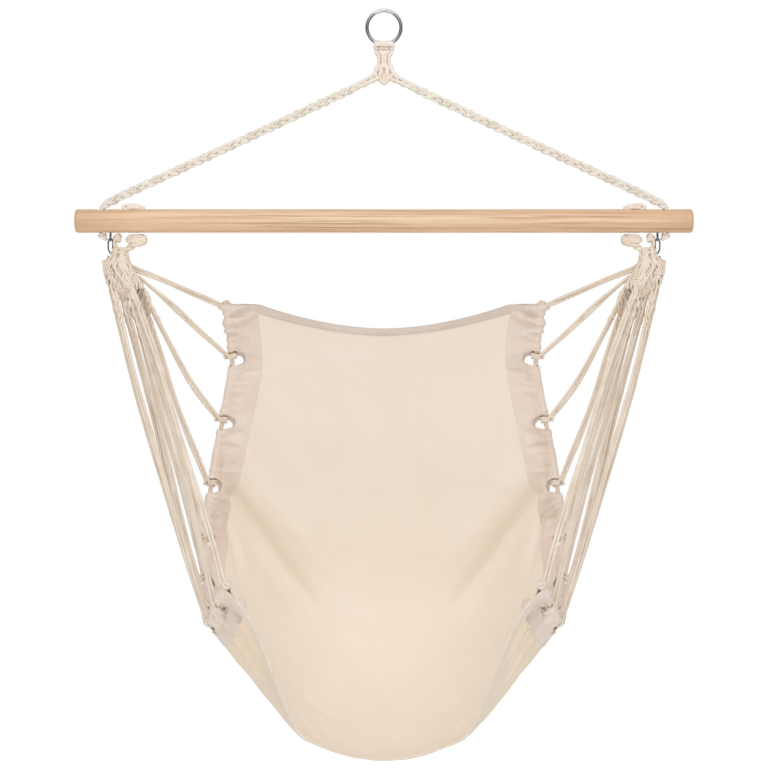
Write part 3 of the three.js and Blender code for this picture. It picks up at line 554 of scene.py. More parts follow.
# harness cords: knot as a share of the edge, start on the head (flank or underside), sag as shares of length
harnessSettings = {
    "strand": 2.5, "apart": 2.35, "knotReach": 8, "wander": 2.2, "wanderFull": 300, "steps": 8,
    # how the pair of strands rocks: ranges of its reach, start and pace, how loose and how flat it is
    "rock": (0.5, 0.85), "rockStart": (-0.35, 0.35), "rockPace": (5, 9), "loose": 0.22, "flat": 0.8,
    "wraps": {"cornerRadius": 5.4, "radius": 6.4, "strand": 2.4, "turns": 2.5, "length": 9.5, "tilt": 1.2},
    "cornerLoop": {"half": (4.6, 1.6, 6.6), "strand": 2.3},
    "lump": {"reach": -7.4, "half": (4.6, 4.2, 4.4), "strand": 2.4},
    "cords": [
        ("top", "flank", (0.8, 0.6, 1), (0, 0, 0.01)),
        (0.084, "flank", (0.95, 0.3, 0.6), (0, 0, 0.005)),
        (0.22, "spot", (0.82, 0.12), (-0.015, 0, -0.045)),
        (0.356, "spot", (0.58, 0.56), (-0.012, 0, 0)),
        (0.475, "spot", (0.3, 0.76), (0.012, 0, 0)),
        (0.588, "spot", (0.02, 0.44), (0.006, 0, 0)),
        (0.69, "spot", (-0.36, 0.58), (-0.004, 0, 0)),
        (0.71, "spot", (-0.26, 0.04), (0.002, 0, 0)),
        (0.795, "spot", (-0.76, 0.1), (-0.014, 0, 0)),
        (0.815, "spot", (-0.6, -0.48), (-0.012, 0, 0)),
        (0.925, "spot", (0.12, -0.4), (0.012, 0, 0)),
        ("front", "spot", (0.34, -0.74), (0.01, 0, 0)),
    ],
}


def knotFrame(end):
    tail = slingSettings["hemHeight"] + slingSettings["knotPast"]
    if end == "top":
        return edgeFrame(0, -tail)
    if end == "front":
        return edgeFrame(1, tail)
    return edgeFrame(end)


def headSpot(kind, shares):
    h = headSettings
    lowX, widths = h["x"] + h["flareShift"], (h["flareHalfWidth"], h["flareHalfDepth"])
    if kind == "spot":
        return Vector((lowX + shares[0] * widths[0], shares[1] * widths[1], h["bottom"] - 0.5))
    way = Vector((shares[0], shares[1], 0)).normalized()
    height = shares[2]
    halfWidth = widths[0] + (h["radius"] - widths[0]) * height
    halfDepth = widths[1] + (h["radius"] - widths[1]) * height
    return Vector((lowX - h["flareShift"] * height + way.x * (halfWidth + 2), way.y * (halfDepth + 2),
                   h["bottom"] + (h["wide"] - h["bottom"]) * height))


def cordPath(entry, chance):
    end, kind, shares, sag = entry
    place = knotFrame(end)
    start = headSpot(kind, shares)
    finish = inFrame(place, -harnessSettings["knotReach"], 0)
    length = (finish - start).length
    sagWay = Vector(sag) * length
    turnA, turnB = chance.uniform(0, 6.3), chance.uniform(0, 6.3)
    points = []
    for i in range(harnessSettings["steps"] + 1):
        share = i / harnessSettings["steps"]
        far = min(1, length / harnessSettings["wanderFull"])
        loose = math.sin(math.pi * share) * harnessSettings["wander"] * far
        points.append(start.lerp(finish, share) + sagWay * 4 * share * (1 - share) + Vector((
            math.sin(share * 7 + turnA), math.sin(share * 6 + turnB), 0)) * loose)
    return smoothRow(points, max(16, round(length / 9))), place


def turnedRound(way, side, angle, flat=1):
    return side * math.cos(angle) + way.cross(side) * math.sin(angle) * flat


# two strands side by side, rocking a little round the cord's centre line
def addPairedStrands(parts, path, settings, chance):
    sway = chance.uniform(*settings["rock"]) * chance.choice((-1, 1))
    start, slow = chance.uniform(*settings["rockStart"]), chance.uniform(*settings["rockPace"])
    spread = chance.uniform(0, 6.3)
    for sign in (1, -1):
        strand = []
        for i, place in enumerate(path):
            share = i / (len(path) - 1)
            way = rowWay(path, i)
            side = turnedAside(way, Vector((1, 0, 0.2)))
            angle = start + sway * math.sin(slow * share + spread)
            loose = 1 + settings["loose"] * math.sin(share * 9 + spread)
            across = turnedRound(way, side, angle, settings["flat"])
            strand.append(place + across * settings["apart"] * loose * sign)
        addTube(parts, strand, settings["strand"], 7)


# a knot of wraps round the edge rope, in its frame
def addRopeWraps(parts, place, settings, atCorner, chance):
    path = []
    radius, turns = settings["cornerRadius" if atCorner else "radius"], settings["turns"]
    tilt = chance.uniform(-settings["tilt"], settings["tilt"])
    steps = round(turns * 14)
    for i in range(steps + 1):
        share = i / steps
        angle = share * turns * fullTurn + math.pi
        rise = (share - 0.5) * settings["length"]
        path.append(inFrame(place, math.cos(angle) * radius, math.sin(angle) * radius,
                            rise + tilt * math.cos(angle)))
    addTube(parts, path, settings["strand"], 7)


def makeHarness(settings):
    for number, entry in enumerate(settings["cords"], 1):
        chance = random.Random(number * 31)
        path, place = cordPath(entry, chance)
        cordParts, knotParts = newParts(), newParts()
        addPairedStrands(cordParts, path, settings, chance)
        atCorner = isinstance(entry[0], str)
        addRopeWraps(knotParts, place, settings["wraps"], atCorner, chance)
        if atCorner:
            loop, half = settings["cornerLoop"], settings["cornerLoop"]["half"]
            over = [inFrame(place, half[0] * math.cos(a), half[1] * math.sin(2 * a), half[2] * math.sin(a))
                    for a in [k * math.pi / 6 for k in range(12)]]
            addTube(knotParts, smoothRow(over, 30, True), loop["strand"], 7, closed=True)
        lump, half = settings["lump"], settings["lump"]["half"]
        row = [inFrame(place, lump["reach"] + half[0] * math.cos(a), half[1] * math.sin(a),
                       half[2] * math.sin(2 * a)) for a in [k * math.pi / 5 for k in range(10)]]
        addTube(knotParts, smoothRow(row, 26, True), lump["strand"], 7, closed=True)
        knots = makePair(f"cordKnot{number}", knotParts, thinCotton, "seat", "cord")
        cords = makePair(f"harnessCord{number}", cordParts, thinCotton, "seat", "cord",
                         f"harness_cord_{number}")


makeHarness(harnessSettings)
print("harness cords made")

mainRopeSettings = {
    "start": (-10.7, 0, -104.3), "bend": (-430, 0, barTop + 19.5), "sag": 5.2,
    "shares": (0, 0.08, 0.3, 0.55, 0.8, 0.93),
    # x and z in the hole, from its axis and the bar's top
    "foot": ((11.7, 11.5), (2.08, 5.2), (0, -2.6), (0, -13), (0, -19), (0, -31.5), (0, -38)),
    "steps": 260, "strand": 3.2, "thick": 0.72, "apart": 0.42, "wide": 4.3, "deep": 2.5, "pitch": 42,
    "drawnFrom": 6, "drawnLength": 64, "holeLength": 62, "holeRun": 20,
}


def mainRopePath(settings):
    start, bend = Vector(settings["start"]), Vector(settings["bend"])
    points = [start.lerp(bend, share) + Vector((0, 0, -settings["sag"] * share * (1 - share)))
              for share in settings["shares"]]
    points += [Vector((ropeHoleX + x, 0, barTop + z)) for x, z in settings["foot"]]
    return makeLine(points)


# a flat plait of three strands of two cords each, drawn together near the hanger and in the bar's hole
def makeMainRopes(settings):
    line = mainRopePath(settings)
    count = settings["steps"]
    path = lineRow(line, count)
    parts = newParts()
    for strand in range(3):
        for twin in (-1, 1):
            places = []
            for i, place in enumerate(path):
                reach = line["length"] * i / (count - 1)
                way = rowWay(path, i)
                aside = turnedAside(way, Vector((0, 1, 0)))
                rise = way.cross(aside)
                phase = fullTurn * (reach / settings["pitch"] + strand / 3)
                plaited = smooth((reach - settings["drawnFrom"]) / settings["drawnLength"])
                inHole = smooth((reach - (line["length"] - settings["holeLength"])) / settings["holeRun"])
                wide = settings["wide"] * (0.75 + 0.25 * plaited) * (1 - 0.35 * inHole)
                across = rise * math.sin(phase) * wide + aside * math.sin(2 * phase) * settings["deep"]
                beside = rise * math.cos(phase * 0.5 + strand) + aside * math.sin(phase * 0.5 + strand)
                places.append(place + across + beside * twin * settings["strand"] * settings["apart"])
            addTube(parts, places, settings["strand"] * settings["thick"], 7)
    ropes = makePair("mainRope", parts, thickCotton, "hanger", "rope", "main_rope")


makeMainRopes(mainRopeSettings)

edgeRopeSettings = {"radius": 2.05, "apart": 2.15, "pitch": 26, "rows": 330}


def edgeRopeFrames(count):
    tail = slingSettings["hemHeight"] + slingSettings["ropeTail"]
    frames = [edgeFrame(0, -tail * (1 - i / 4)) for i in range(4)]
    frames += [edgeFrame(i / (count - 1)) for i in range(count)]
    return frames + [edgeFrame(1, tail * (i + 1) / 4) for i in range(4)]


def makeEdgeRopes(settings):
    frames = edgeRopeFrames(settings["rows"])
    path = [f["place"] for f in frames]
    parts = newParts()
    for strand in range(3):
        reach, places = 0.0, []
        for i, f in enumerate(frames):
            reach += (path[i] - path[i - 1]).length if i else 0
            angle = fullTurn * (reach / settings["pitch"] + strand / 3)
            places.append(inFrame(f, math.cos(angle) * settings["apart"],
                                  math.sin(angle) * settings["apart"]))
        addTube(parts, places, settings["radius"], 6)
    ropes = makePair("edgeRope", parts, thinCotton, "seat", "cord", "edge_rope")


makeEdgeRopes(edgeRopeSettings)
print("ropes made")

# sling cloth, from the same lines as its solid; folds run on over the side bands
clothSettings = {
    "rows": 151, "columns": 171, "tuck": 3, "thickness": 1.5, "swell": 2.2, "ripple": 1.1, "crumple": 0.4,
}

# a fold's line in shares along and across (past -1 on the band), its half width and depth in millimetres;
# beside shifts the line by shares
foldSettings = [
    {"line": [(0.28, -1.3), (0.332, -1.15), (0.368, -1.0), (0.388, -0.86), (0.404, -0.77), (0.429, -0.66),
              (0.465, -0.51), (0.5, -0.39)], "width": 10, "depth": -17},
    {"line": [(0.365, -1.1), (0.395, -0.98), (0.418, -0.87), (0.442, -0.76), (0.47, -0.63), (0.51, -0.47)],
     "width": 26, "depth": -21},
    {"line": [(0.33, -1.0), (0.366, -0.86), (0.39, -0.74), (0.42, -0.6), (0.46, -0.44)],
     "width": 14, "depth": 6, "beside": (-0.032, 0.05)},
    {"line": [(0.355, -1.19), (0.40, -1.06), (0.45, -0.97), (0.51, -0.9)], "width": 10, "depth": -8},
    {"line": [(0.345, -1.16), (0.37, -1.1), (0.41, -1.03), (0.44, -0.93)], "width": 7, "depth": 3.0},
    {"line": [(0.119, -1.17), (0.116, -1.09), (0.112, -1.0), (0.108, -0.93)], "width": 4.5, "depth": -3.0},
    {"line": [(0.235, -1.15), (0.25, -1.05), (0.275, -0.95), (0.31, -0.86)], "width": 9, "depth": -2.6},
    {"line": [(0.44, -1.12), (0.5, -1.03), (0.56, -0.93)], "width": 10, "depth": -3.2},
    {"line": [(0.675, -0.53), (0.69, -0.49), (0.703, -0.46)], "width": 13, "depth": -4.0},
    {"line": [(0.694, -0.435), (0.702, -0.37), (0.706, -0.31)], "width": 13, "depth": -4.0},
    {"line": [(0.742, -0.54), (0.768, -0.47), (0.8, -0.412), (0.81, -0.32), (0.815, -0.22)],
     "width": 9, "depth": 3.4},
    {"line": [(0.93, -1.2), (0.945, -1.08), (0.95, -0.97), (0.945, -0.86)], "width": 5, "depth": -8.0},
    {"line": [(0.9, -1.19), (0.91, -1.07), (0.918, -0.96), (0.915, -0.86)], "width": 4.5, "depth": -6.0},
    {"line": [(0.87, -1.18), (0.88, -1.06), (0.885, -0.95), (0.88, -0.82)], "width": 5, "depth": -8.0},
]


def gridOf(rows, columns, pointAt):
    return np.array([[list(pointAt(i, j)) for j in range(columns)] for i in range(rows)])


def gridNormals(grid):
    down, across = np.gradient(grid, axis=0), np.gradient(grid, axis=1)
    normals = np.cross(down, across)
    return normals / np.linalg.norm(normals, axis=2, keepdims=True)


def clothPoint(frame, centre, share, across):
    corner = inFrame(frame, slingSettings["bandWidth"], 0)
    rise = sectionRise(across, share)
    return Vector((corner.x * -across, centre.y + (corner.y - centre.y) * rise,
                   centre.z + (corner.z - centre.z) * rise))


def distanceToLine(grid, line):
    best = np.full(grid.shape[:2], 1e9)
    place = np.zeros(grid.shape[:2])
    total = len(line) - 1
    for k, (a, b) in enumerate(zip(line, line[1:])):
        a, b = np.array(a), np.array(b)
        reach = b - a
        t = np.clip(((grid - a) @ reach) / max(reach @ reach, 1e-9), 0, 1)
        gap = np.linalg.norm(grid - (a + t[..., None] * reach), axis=2)
        closer = gap < best
        best = np.where(closer, gap, best)
        place = np.where(closer, (k + t) / total, place)
    return best, place


def sheetParts(grid, extent):
    rows, columns = grid.shape[:2]
    parts = newParts()
    parts["points"] = [Vector(p) for row in grid for p in row]
    for i in range(rows - 1):
        for j in range(columns - 1):
            corners = [(i, j), (i + 1, j), (i + 1, j + 1), (i, j + 1)]
            parts["faces"].append([r * columns + c for r, c in corners])
            parts["uvs"].append([(c / (columns - 1) * extent[0] * mm, r / (rows - 1) * extent[1] * mm)
                                 for r, c in corners])
    return parts


def pickOnly(piece):
    bpy.ops.object.select_all(action="DESELECT")
    piece.select_set(True)
    bpy.context.view_layer.objects.active = piece


def onWholeMesh(piece, action, **values):
    pickOnly(piece)
    bpy.ops.object.mode_set(mode="EDIT")
    bpy.ops.mesh.select_all(action="SELECT")
    action(**values)
    bpy.ops.object.mode_set(mode="OBJECT")


def applied(piece, kind, **values):
    pickOnly(piece)
    modifier = piece.modifiers.new(kind, kind)
    for key, value in values.items():
        setattr(modifier, key, value)
    bpy.ops.object.modifier_apply(modifier=modifier.name)
    return piece


# a place on the left half of the sling, on the cloth or out on its band
def slingSpot(share, across):
    f = edgeFrame(share)
    if across >= -1:
        return clothPoint(f, lineAt(centreLine, share), share, across)
    return inFrame(f, slingSettings["bandWidth"] + (across + 1) * slingSettings["bandSpread"], 0)


def foldLift(grid, mirrored):
    lift = np.zeros(grid.shape[:2])
    for fold in foldSettings:
        shift = fold.get("beside", (0, 0))
        line = smoothRow([slingSpot(share + shift[0], across + shift[1])
                          for share, across in fold["line"]], 22)
        if mirrored:
            line = [mirroredPoint(p) for p in line]
        gap, place = distanceToLine(grid, line)
        fade = np.sin(np.pi * np.clip(place, 0, 1)) ** 0.7
        lift += fold["depth"] * np.exp(-(gap / fold["width"]) ** 2) * fade
    return lift


def makeCloth(settings):
    rows, columns = settings["rows"], settings["columns"]
    frames = [edgeFrame(i / (rows - 1)) for i in range(rows)]
    centres = [lineAt(centreLine, i / (rows - 1)) for i in range(rows)]
    reach = 1 + settings["tuck"] / slingSettings["bandSpread"]
    grid = gridOf(rows, columns, lambda i, j: clothPoint(
        frames[i], centres[i], i / (rows - 1), (2 * j / (columns - 1) - 1) * reach))
    normals = gridNormals(grid)
    lift = foldLift(grid, False) + foldLift(grid, True)
    for i in range(rows):
        for j in range(columns):
            p = Vector(grid[i][j])
            calm = min(1, (1 - abs(2 * j / (columns - 1) - 1)) * 9)
            broad = settings["swell"] * noise.noise(p * 0.011)
            lift[i][j] += calm * (broad + settings["ripple"] * noise.noise(p * 0.03 + Vector((3, 0, 0))))
            lift[i][j] += calm * settings["crumple"] * noise.noise(p * 0.09)
    ends = np.minimum(np.arange(rows), np.arange(rows)[::-1])[:, None]
    lift *= np.clip(ends / 5, 0, 1)
    grid = grid + normals * lift[..., None]
    width = np.linalg.norm(np.diff(grid, axis=1), axis=2).sum(axis=1).mean()
    length = np.linalg.norm(np.diff(grid, axis=0), axis=2).sum(axis=0).mean()
    cloth = makePiece("slingCloth", sheetParts(grid, (width, length)), canvas)
    cloth.data.materials.append(litThroughCanvas)
    # the outer side takes the second material, the canvas with painted light through it
    applied(cloth, "SOLIDIFY", thickness=settings["thickness"] * mm, offset=0, material_offset=1)
    dress(cloth, "seat", "cloth", "seat_cloth")
    return cloth, width, length


slingCloth, clothWidth, clothLength = makeCloth(clothSettings)

hemSettings = {
    "halfHeight": 6.1, "cornerHeight": 8.6, "flat": 0.34, "steps": 110, "bandReach": 12,
    "endLoss": 4.5, "endFrom": 0.95, "cornerSteps": 12, "cornerOut": 6, "cornerMore": 7,
}


def hemRow(share, direction):
    count = hemSettings["steps"]
    frame, centre = edgeFrame(share), lineAt(centreLine, share)
    inner = max(0, min(1, share - direction * 0.02))
    innerFrame, innerCentre = edgeFrame(inner), lineAt(centreLine, inner)
    path, ways = [], []
    row = [clothPoint(frame, centre, share, 2 * j / (count - 1) - 1) for j in range(count)]
    for j, place in enumerate(row):
        across = rowWay(row, j)
        way = place - clothPoint(innerFrame, innerCentre, inner, 2 * j / (count - 1) - 1)
        way = (way - across * way.dot(across)).normalized()
        path.append(place + way * (hemSettings["halfHeight"] - 0.2))
        ways.append(way)
    corner = []
    start, width, steps = hemSettings["bandReach"], slingSettings["bandWidth"], hemSettings["cornerSteps"]
    for k in range(steps):
        reach = start + (width - start) * k / steps
        out = direction * (hemSettings["cornerOut"] + hemSettings["cornerMore"] * (1 - reach / width))
        corner.append((inFrame(frame, reach, 0, out), frame["along"] * direction))
    mirror = [(mirroredPoint(p), mirroredPoint(w)) for p, w in corner]
    path = [p for p, _ in corner] + path + [p for p, _ in mirror[::-1]]
    ways = [w for _, w in corner] + ways + [w for _, w in mirror[::-1]]
    return path, ways


def makeHem(name, node, share, direction, material):
    path, ways = hemRow(share, direction)
    rise = hemSettings["cornerHeight"] - hemSettings["halfHeight"]
    parts = newParts()

    def halfAt(part):
        out = abs(2 * part - 1)
        loss = hemSettings["endLoss"] * smooth((out - hemSettings["endFrom"]) / 0.05)
        return hemSettings["halfHeight"] + rise * out ** 2.5 - loss

    addTube(parts, path, halfAt, 14, flat=hemSettings["flat"], lead=ways, girth=0.026)
    return dress(makePiece(name, parts, material), "seat", "band", node)


topHem = makeHem("topHem", "top_hem", 0, -1, hemTape)
frontHem = makeHem("frontHem", "front_hem", 1, 1, frontTape)
print("cloth made:", round(clothWidth), "by", round(clothLength), "mm")

# side bands: a sleeve round the edge rope, gathered along it and open at each knot
bandSettings = {
    "half": 1.2, "wall": 0.9, "innerEdge": 50.5, "rows": 560, "overKnot": 9, "fullness": 1.12,
    # the upper layer's section, reach and height from the sewn edge to the rope; the lower layer mirrors it
    "sewn": ((49.6, 0.62), (48.4, 0.92)), "level": (46, 43, 39, 35.5, 32, 29, 26, 23.5, 21, 19),
    "sleeve": ((17, 1.5), (15, 1.9), (13, 2.4), (11, 3.1), (9, 3.9), (6.8, 4.6)),
    "noseRadius": 6.2, "noseSteps": 13, "noseFrom": 52, "noseTo": 308,
    "cutReach": 19.5, "cutSpare": 15, "cutLead": 4, "ragged": 0.09, "backShift": 8,
    "knotLength": 11, "knotPitch": 14,
    # gathers: how strong they are, and where along the band they swell (height, place and width)
    "gather": 0.85, "swells": ((2.4, 0.02, 0.05), (0.9, 0.4, 0.05), (3.0, 0.94, 0.07)), "gatherPast": 22,
    # ranges of their step, width, height, depth and slant
    "gatherStep": (4, 12), "gatherWidth": (1.5, 3.8), "gatherHeight": (0.8, 2.8), "gatherDepth": (24, 95),
    "gatherSlant": (-0.45, 0.45), "uneven": 1.3, "rolledRim": 0.9,
}


def bandOutline(settings):
    upper = [(settings["innerEdge"], 0.4), *settings["sewn"]]
    upper += [(reach, settings["half"]) for reach in settings["level"]]
    upper += settings["sleeve"]
    arc = []
    for k in range(settings["noseSteps"]):
        sweep = settings["noseTo"] - settings["noseFrom"]
        angle = math.radians(settings["noseFrom"] + sweep * k / (settings["noseSteps"] - 1))
        arc.append((settings["noseRadius"] * math.cos(angle), settings["noseRadius"] * math.sin(angle)))
    return upper + arc + [(reach, -height) for reach, height in reversed(upper)]


def bandCuts(settings):
    length = edgeLine["length"]
    groups = []
    for end in [entry[0] for entry in harnessSettings["cords"] if not isinstance(entry[0], str)]:
        if groups and (end - groups[-1][-1]) * length < 2 * settings["knotPitch"]:
            groups[-1].append(end)
        else:
            groups.append([end])
    return [((group[0] + group[-1]) / 2 * length + settings["cutLead"],
             ((group[-1] - group[0]) * length + settings["knotLength"] + settings["cutSpare"]) / 2)
            for group in groups]


# gathers: ridges that leave the rope, lean a little and die out inwards
def gatherRidges(settings, length, chance):
    ridges, place = [], -float(settings["gatherPast"])
    while place < length + settings["gatherPast"]:
        share = place / length
        strong = settings["gather"]
        for extra, middle, wide in settings["swells"]:
            strong += extra * math.exp(-((share - middle) / wide) ** 2)
        width = chance.uniform(*settings["gatherWidth"])
        height = chance.uniform(*settings["gatherHeight"]) * strong * chance.choice((1, 1, 1, -0.8))
        depth, slant = chance.uniform(*settings["gatherDepth"]), chance.uniform(*settings["gatherSlant"])
        ridges.append((place, width, height, depth, slant))
        place += chance.uniform(*settings["gatherStep"])
    return ridges


def wrinkle(ridges, along, reach):
    total = -0.5
    for place, width, height, depth, slant in ridges:
        wide = width * (1 + reach / 45)
        gap = (along - place - slant * reach) / wide
        if abs(gap) < 3:
            total += height * math.exp(-gap * gap) * smooth((depth - reach) / (depth * 0.7))
    return total


# the outer layer's openings lie a little lower than the inner layer's
def openingShifts(settings, outline):
    first = (len(outline) - settings["noseSteps"]) / 2
    return [settings["backShift"] * smooth((j - first) / settings["noseSteps"]) for j in range(len(outline))]


# 1 on a cut's ragged rim and less inside it
def rimShare(settings, inwards, along, middle, half):
    ragged = 1 + settings["ragged"] * math.sin(3 * math.atan2(along - middle, inwards) + middle)
    return math.hypot(inwards / settings["cutReach"], (along - middle) / half) / ragged


def bandGrid(settings, outline, ridges, openings):
    length, hem = edgeLine["length"], slingSettings["hemHeight"]
    rows, shifts = settings["rows"], openingShifts(settings, outline)
    grid, spots, faces = [], [], []
    for i in range(rows):
        straight = -hem + (length + 2 * hem) * i / (rows - 1)
        past = max(0, -straight) + max(0, straight - length)
        for j, (inwards, height) in enumerate(outline):
            cuts = [(middle + shifts[j], half) for middle, half in openings]
            side = max(0, inwards)
            over = past / hem * settings["overKnot"] * (1 - side / settings["innerEdge"])
            along = straight + math.copysign(over, straight)
            spot = [inwards, along]
            for middle, half in cuts:  # points near a cut's rim go onto it
                rim = rimShare(settings, inwards, along, middle, half)
                if 0.84 < rim < 1.12 and inwards > 4:
                    spot = [inwards / rim, middle + (along - middle) / rim]
            calm = smooth((settings["innerEdge"] - side) / 14)
            lift = wrinkle(ridges, spot[1], side) * calm
            lift += settings["uneven"] * noise.noise(Vector((spot[1] * 0.07, side * 0.05, 0))) * calm
            rolled = max([smooth((1.5 - math.hypot(spot[0] / settings["cutReach"],
                                                   (spot[1] - middle) / half)) / 0.5)
                          for middle, half in cuts])
            lift += settings["rolledRim"] * rolled * smooth((side - 8) / 6) * math.copysign(1, height)
            nose = smooth((9 - inwards) / 9)
            swell = max(0.88, 1 + 0.08 * lift * nose) + 0.42 * nose * smooth((past - 4) / 6)
            inside = min(max(spot[1], 0), length)
            f = edgeFrame(inside / length, spot[1] - inside)
            grid.append(inFrame(f, spot[0] * (swell if nose else 1), height * swell + lift * (1 - nose)))
            spots.append(spot)
            faces.append(f["face"])
    return grid, spots, faces


def makeSideBands(settings):
    length = edgeLine["length"]
    outline = bandOutline(settings)
    cuts = bandCuts(settings)
    rows, across = settings["rows"], len(outline)
    shifts = openingShifts(settings, outline)
    grid, spots, faces = bandGrid(settings, outline, gatherRidges(settings, length, random.Random(11)), cuts)
    reaches = [0.0]
    for a, b in zip(outline, outline[1:]):
        reaches.append(reaches[-1] + math.dist(a, b))
    tucks = [min(r, reaches[-1] - r) for r in reaches]
    lift = foldLift(np.array([list(p) for p in grid]).reshape(rows, across, 3), False).reshape(-1)
    parts = newParts()
    parts["points"] = [p + face * float(rise) * smooth((spot[0] - 4) / 16)
                       for p, face, rise, spot in zip(grid, faces, lift, spots)]
    for i in range(rows - 1):
        for j in range(across - 1):
            corners = [i * across + j, i * across + j + 1, (i + 1) * across + j + 1, (i + 1) * across + j]
            middle = [sum(spots[c][k] for c in corners) / 4 for k in (0, 1)]
            moved = [(centre + (shifts[j] + shifts[j + 1]) / 2, half) for centre, half in cuts]
            if min(rimShare(settings, *middle, centre, half) for centre, half in moved) < 0.985:
                continue
            parts["faces"].append(corners)
            parts["uvs"].append([(tucks[c % across] * mm, spots[c][1] * mm) for c in corners])
    bands = makePair("sideBand", parts, tape, "seat", "band", "side_channel")
    for side, band in zip(("left", "right"), bands):
        onWholeMesh(band, bpy.ops.mesh.delete_loose)
        applied(band, "SOLIDIFY", thickness=settings["wall"] * mm, offset=0)


makeSideBands(bandSettings)
print("side bands made")

# wires and turned pieces, made in place
ringSettings = {"meanRadius": 27.5, "wire": 3.0, "centreZ": -24.5, "around": 112, "sides": 24}


def applyTransform():
    bpy.ops.object.transform_apply(location=True, rotation=True, scale=True)


def placedMesh(piece, name, material):
    applyTransform()
    bpy.ops.object.shade_smooth()
    piece.name = name
    piece.data.name = name
    piece.data.materials.clear()
    piece.data.materials.append(material)
    return piece


# a new primitive, the only thing picked
def added(shape, place, turn=(0, 0, 0), **values):
    bpy.ops.object.select_all(action="DESELECT")
    shape(location=[v * mm for v in place], rotation=turn, **values)
    return bpy.context.object


def addedTorus(mean, wire, around, sides, place, turn):
    return added(bpy.ops.mesh.primitive_torus_add, place, turn, major_radius=mean * mm,
                 minor_radius=wire * mm, major_segments=around, minor_segments=sides)


def addedRod(place, radius, depth, sides, turn=(0, 0, 0)):
    return added(bpy.ops.mesh.primitive_cylinder_add, place, turn, vertices=sides, radius=radius * mm,
                 depth=depth * mm)


def united(first, others, kind="UNION"):
    for other in others:
        pickOnly(other)
        applyTransform()
        applied(first, "BOOLEAN", operation=kind, solver="EXACT", object=other)
        bpy.data.objects.remove(other)
    onWholeMesh(first, bpy.ops.mesh.normals_make_consistent, inside=False)
    return first


def makeRing(settings):
    ring = addedTorus(settings["meanRadius"], settings["wire"], settings["around"], settings["sides"],
                      (0, 0, settings["centreZ"]), (math.pi / 2, 0, 0))
    return dress(placedMesh(ring, "hangingRing", brightSteel), "ring", "steel", "hanging_ring")


makeRing(ringSettings)


# a mirrored copy with a mesh of its own
def mirroredCopy(piece, name):
    copy = piece.copy()
    copy.data = piece.data.copy()
    copy.name = name
    copy.data.name = name
    bpy.context.scene.collection.objects.link(copy)
    pickOnly(copy)
    copy.scale.x = -1
    bpy.ops.object.transform_apply(location=False, rotation=False, scale=True)
    onWholeMesh(copy, bpy.ops.mesh.normals_make_consistent, inside=False)
    return copy


def makeBar(settings):
    bar = addedRod((0, 0, -settings["drop"]), settings["diameter"] / 2, settings["length"], 72,
                   (0, math.pi / 2, 0))
    applyTransform()
    bpy.ops.object.mode_set(mode="EDIT")
    bpy.ops.mesh.select_mode(type="EDGE")
    bpy.ops.mesh.select_all(action="DESELECT")
    bpy.ops.object.mode_set(mode="OBJECT")
    half = settings["length"] / 2 * mm
    for edge in bar.data.edges:
        ends = [bar.data.vertices[v].co.x for v in edge.vertices]
        edge.select = abs(ends[0] - ends[1]) < 1e-5 and abs(abs(ends[0]) - half) < 1e-5
    bpy.ops.object.mode_set(mode="EDIT")
    bpy.ops.mesh.bevel(offset=settings["endRadius"] * mm, segments=7, affect="EDGES")
    bpy.ops.object.mode_set(mode="OBJECT")
    cutters = []
    holes = [(ropeHoleX, settings["ropeHoleRadius"])] + [(x, settings["turnHoleRadius"]) for x in turnXs]
    for side in (-1, 1):
        for x, radius in holes:
            cutters.append(addedRod((x * -side, 0, -settings["drop"]), radius,
                                    settings["diameter"] + settings["cutterSpare"], settings["holeSides"]))
            cutters.append(added(
                bpy.ops.mesh.primitive_cone_add, (x * -side, 0, barTop - settings["rimSink"]),
                vertices=settings["holeSides"], radius1=(radius + settings["rimFrom"]) * mm,
                radius2=(radius + settings["rimTo"]) * mm, depth=settings["rimDepth"] * mm))
    united(bar, cutters, "DIFFERENCE")
    placedMesh(bar, "spreaderBar", lightWood)
    bpy.ops.object.shade_smooth_by_angle(angle=math.radians(38))
    return dress(bar, "hanger", "wood", "spreader_bar")


makeBar(barSettings)


# a wire bent through points: a round section along a smooth curve, closed at its ends
def bentWire(name, points, radius, material, fineness=5):
    curve = bpy.data.curves.new(name, "CURVE")
    curve.dimensions = "3D"
    curve.bevel_depth = radius * mm
    curve.bevel_resolution = fineness
    curve.use_fill_caps = True
    row = smoothRow(points, len(points) * 8)
    spline = curve.splines.new("POLY")
    spline.points.add(len(row) - 1)
    for spot, place in zip(spline.points, row):
        spot.co = (*(place * mm), 1)
    wire = linkedObject(name, curve)
    pickOnly(wire)
    bpy.ops.object.convert(target="MESH")
    wire = bpy.context.object
    return placedMesh(wire, name, material)


hookSettings = {"eyeMean": 4.2, "eyeWire": 1.4, "shank": 1.8, "wire": 1.3, "halfWidth": 3.7, "length": 38.4,
                "play": 0.3, "overlap": 0.6, "shankRise": 18}


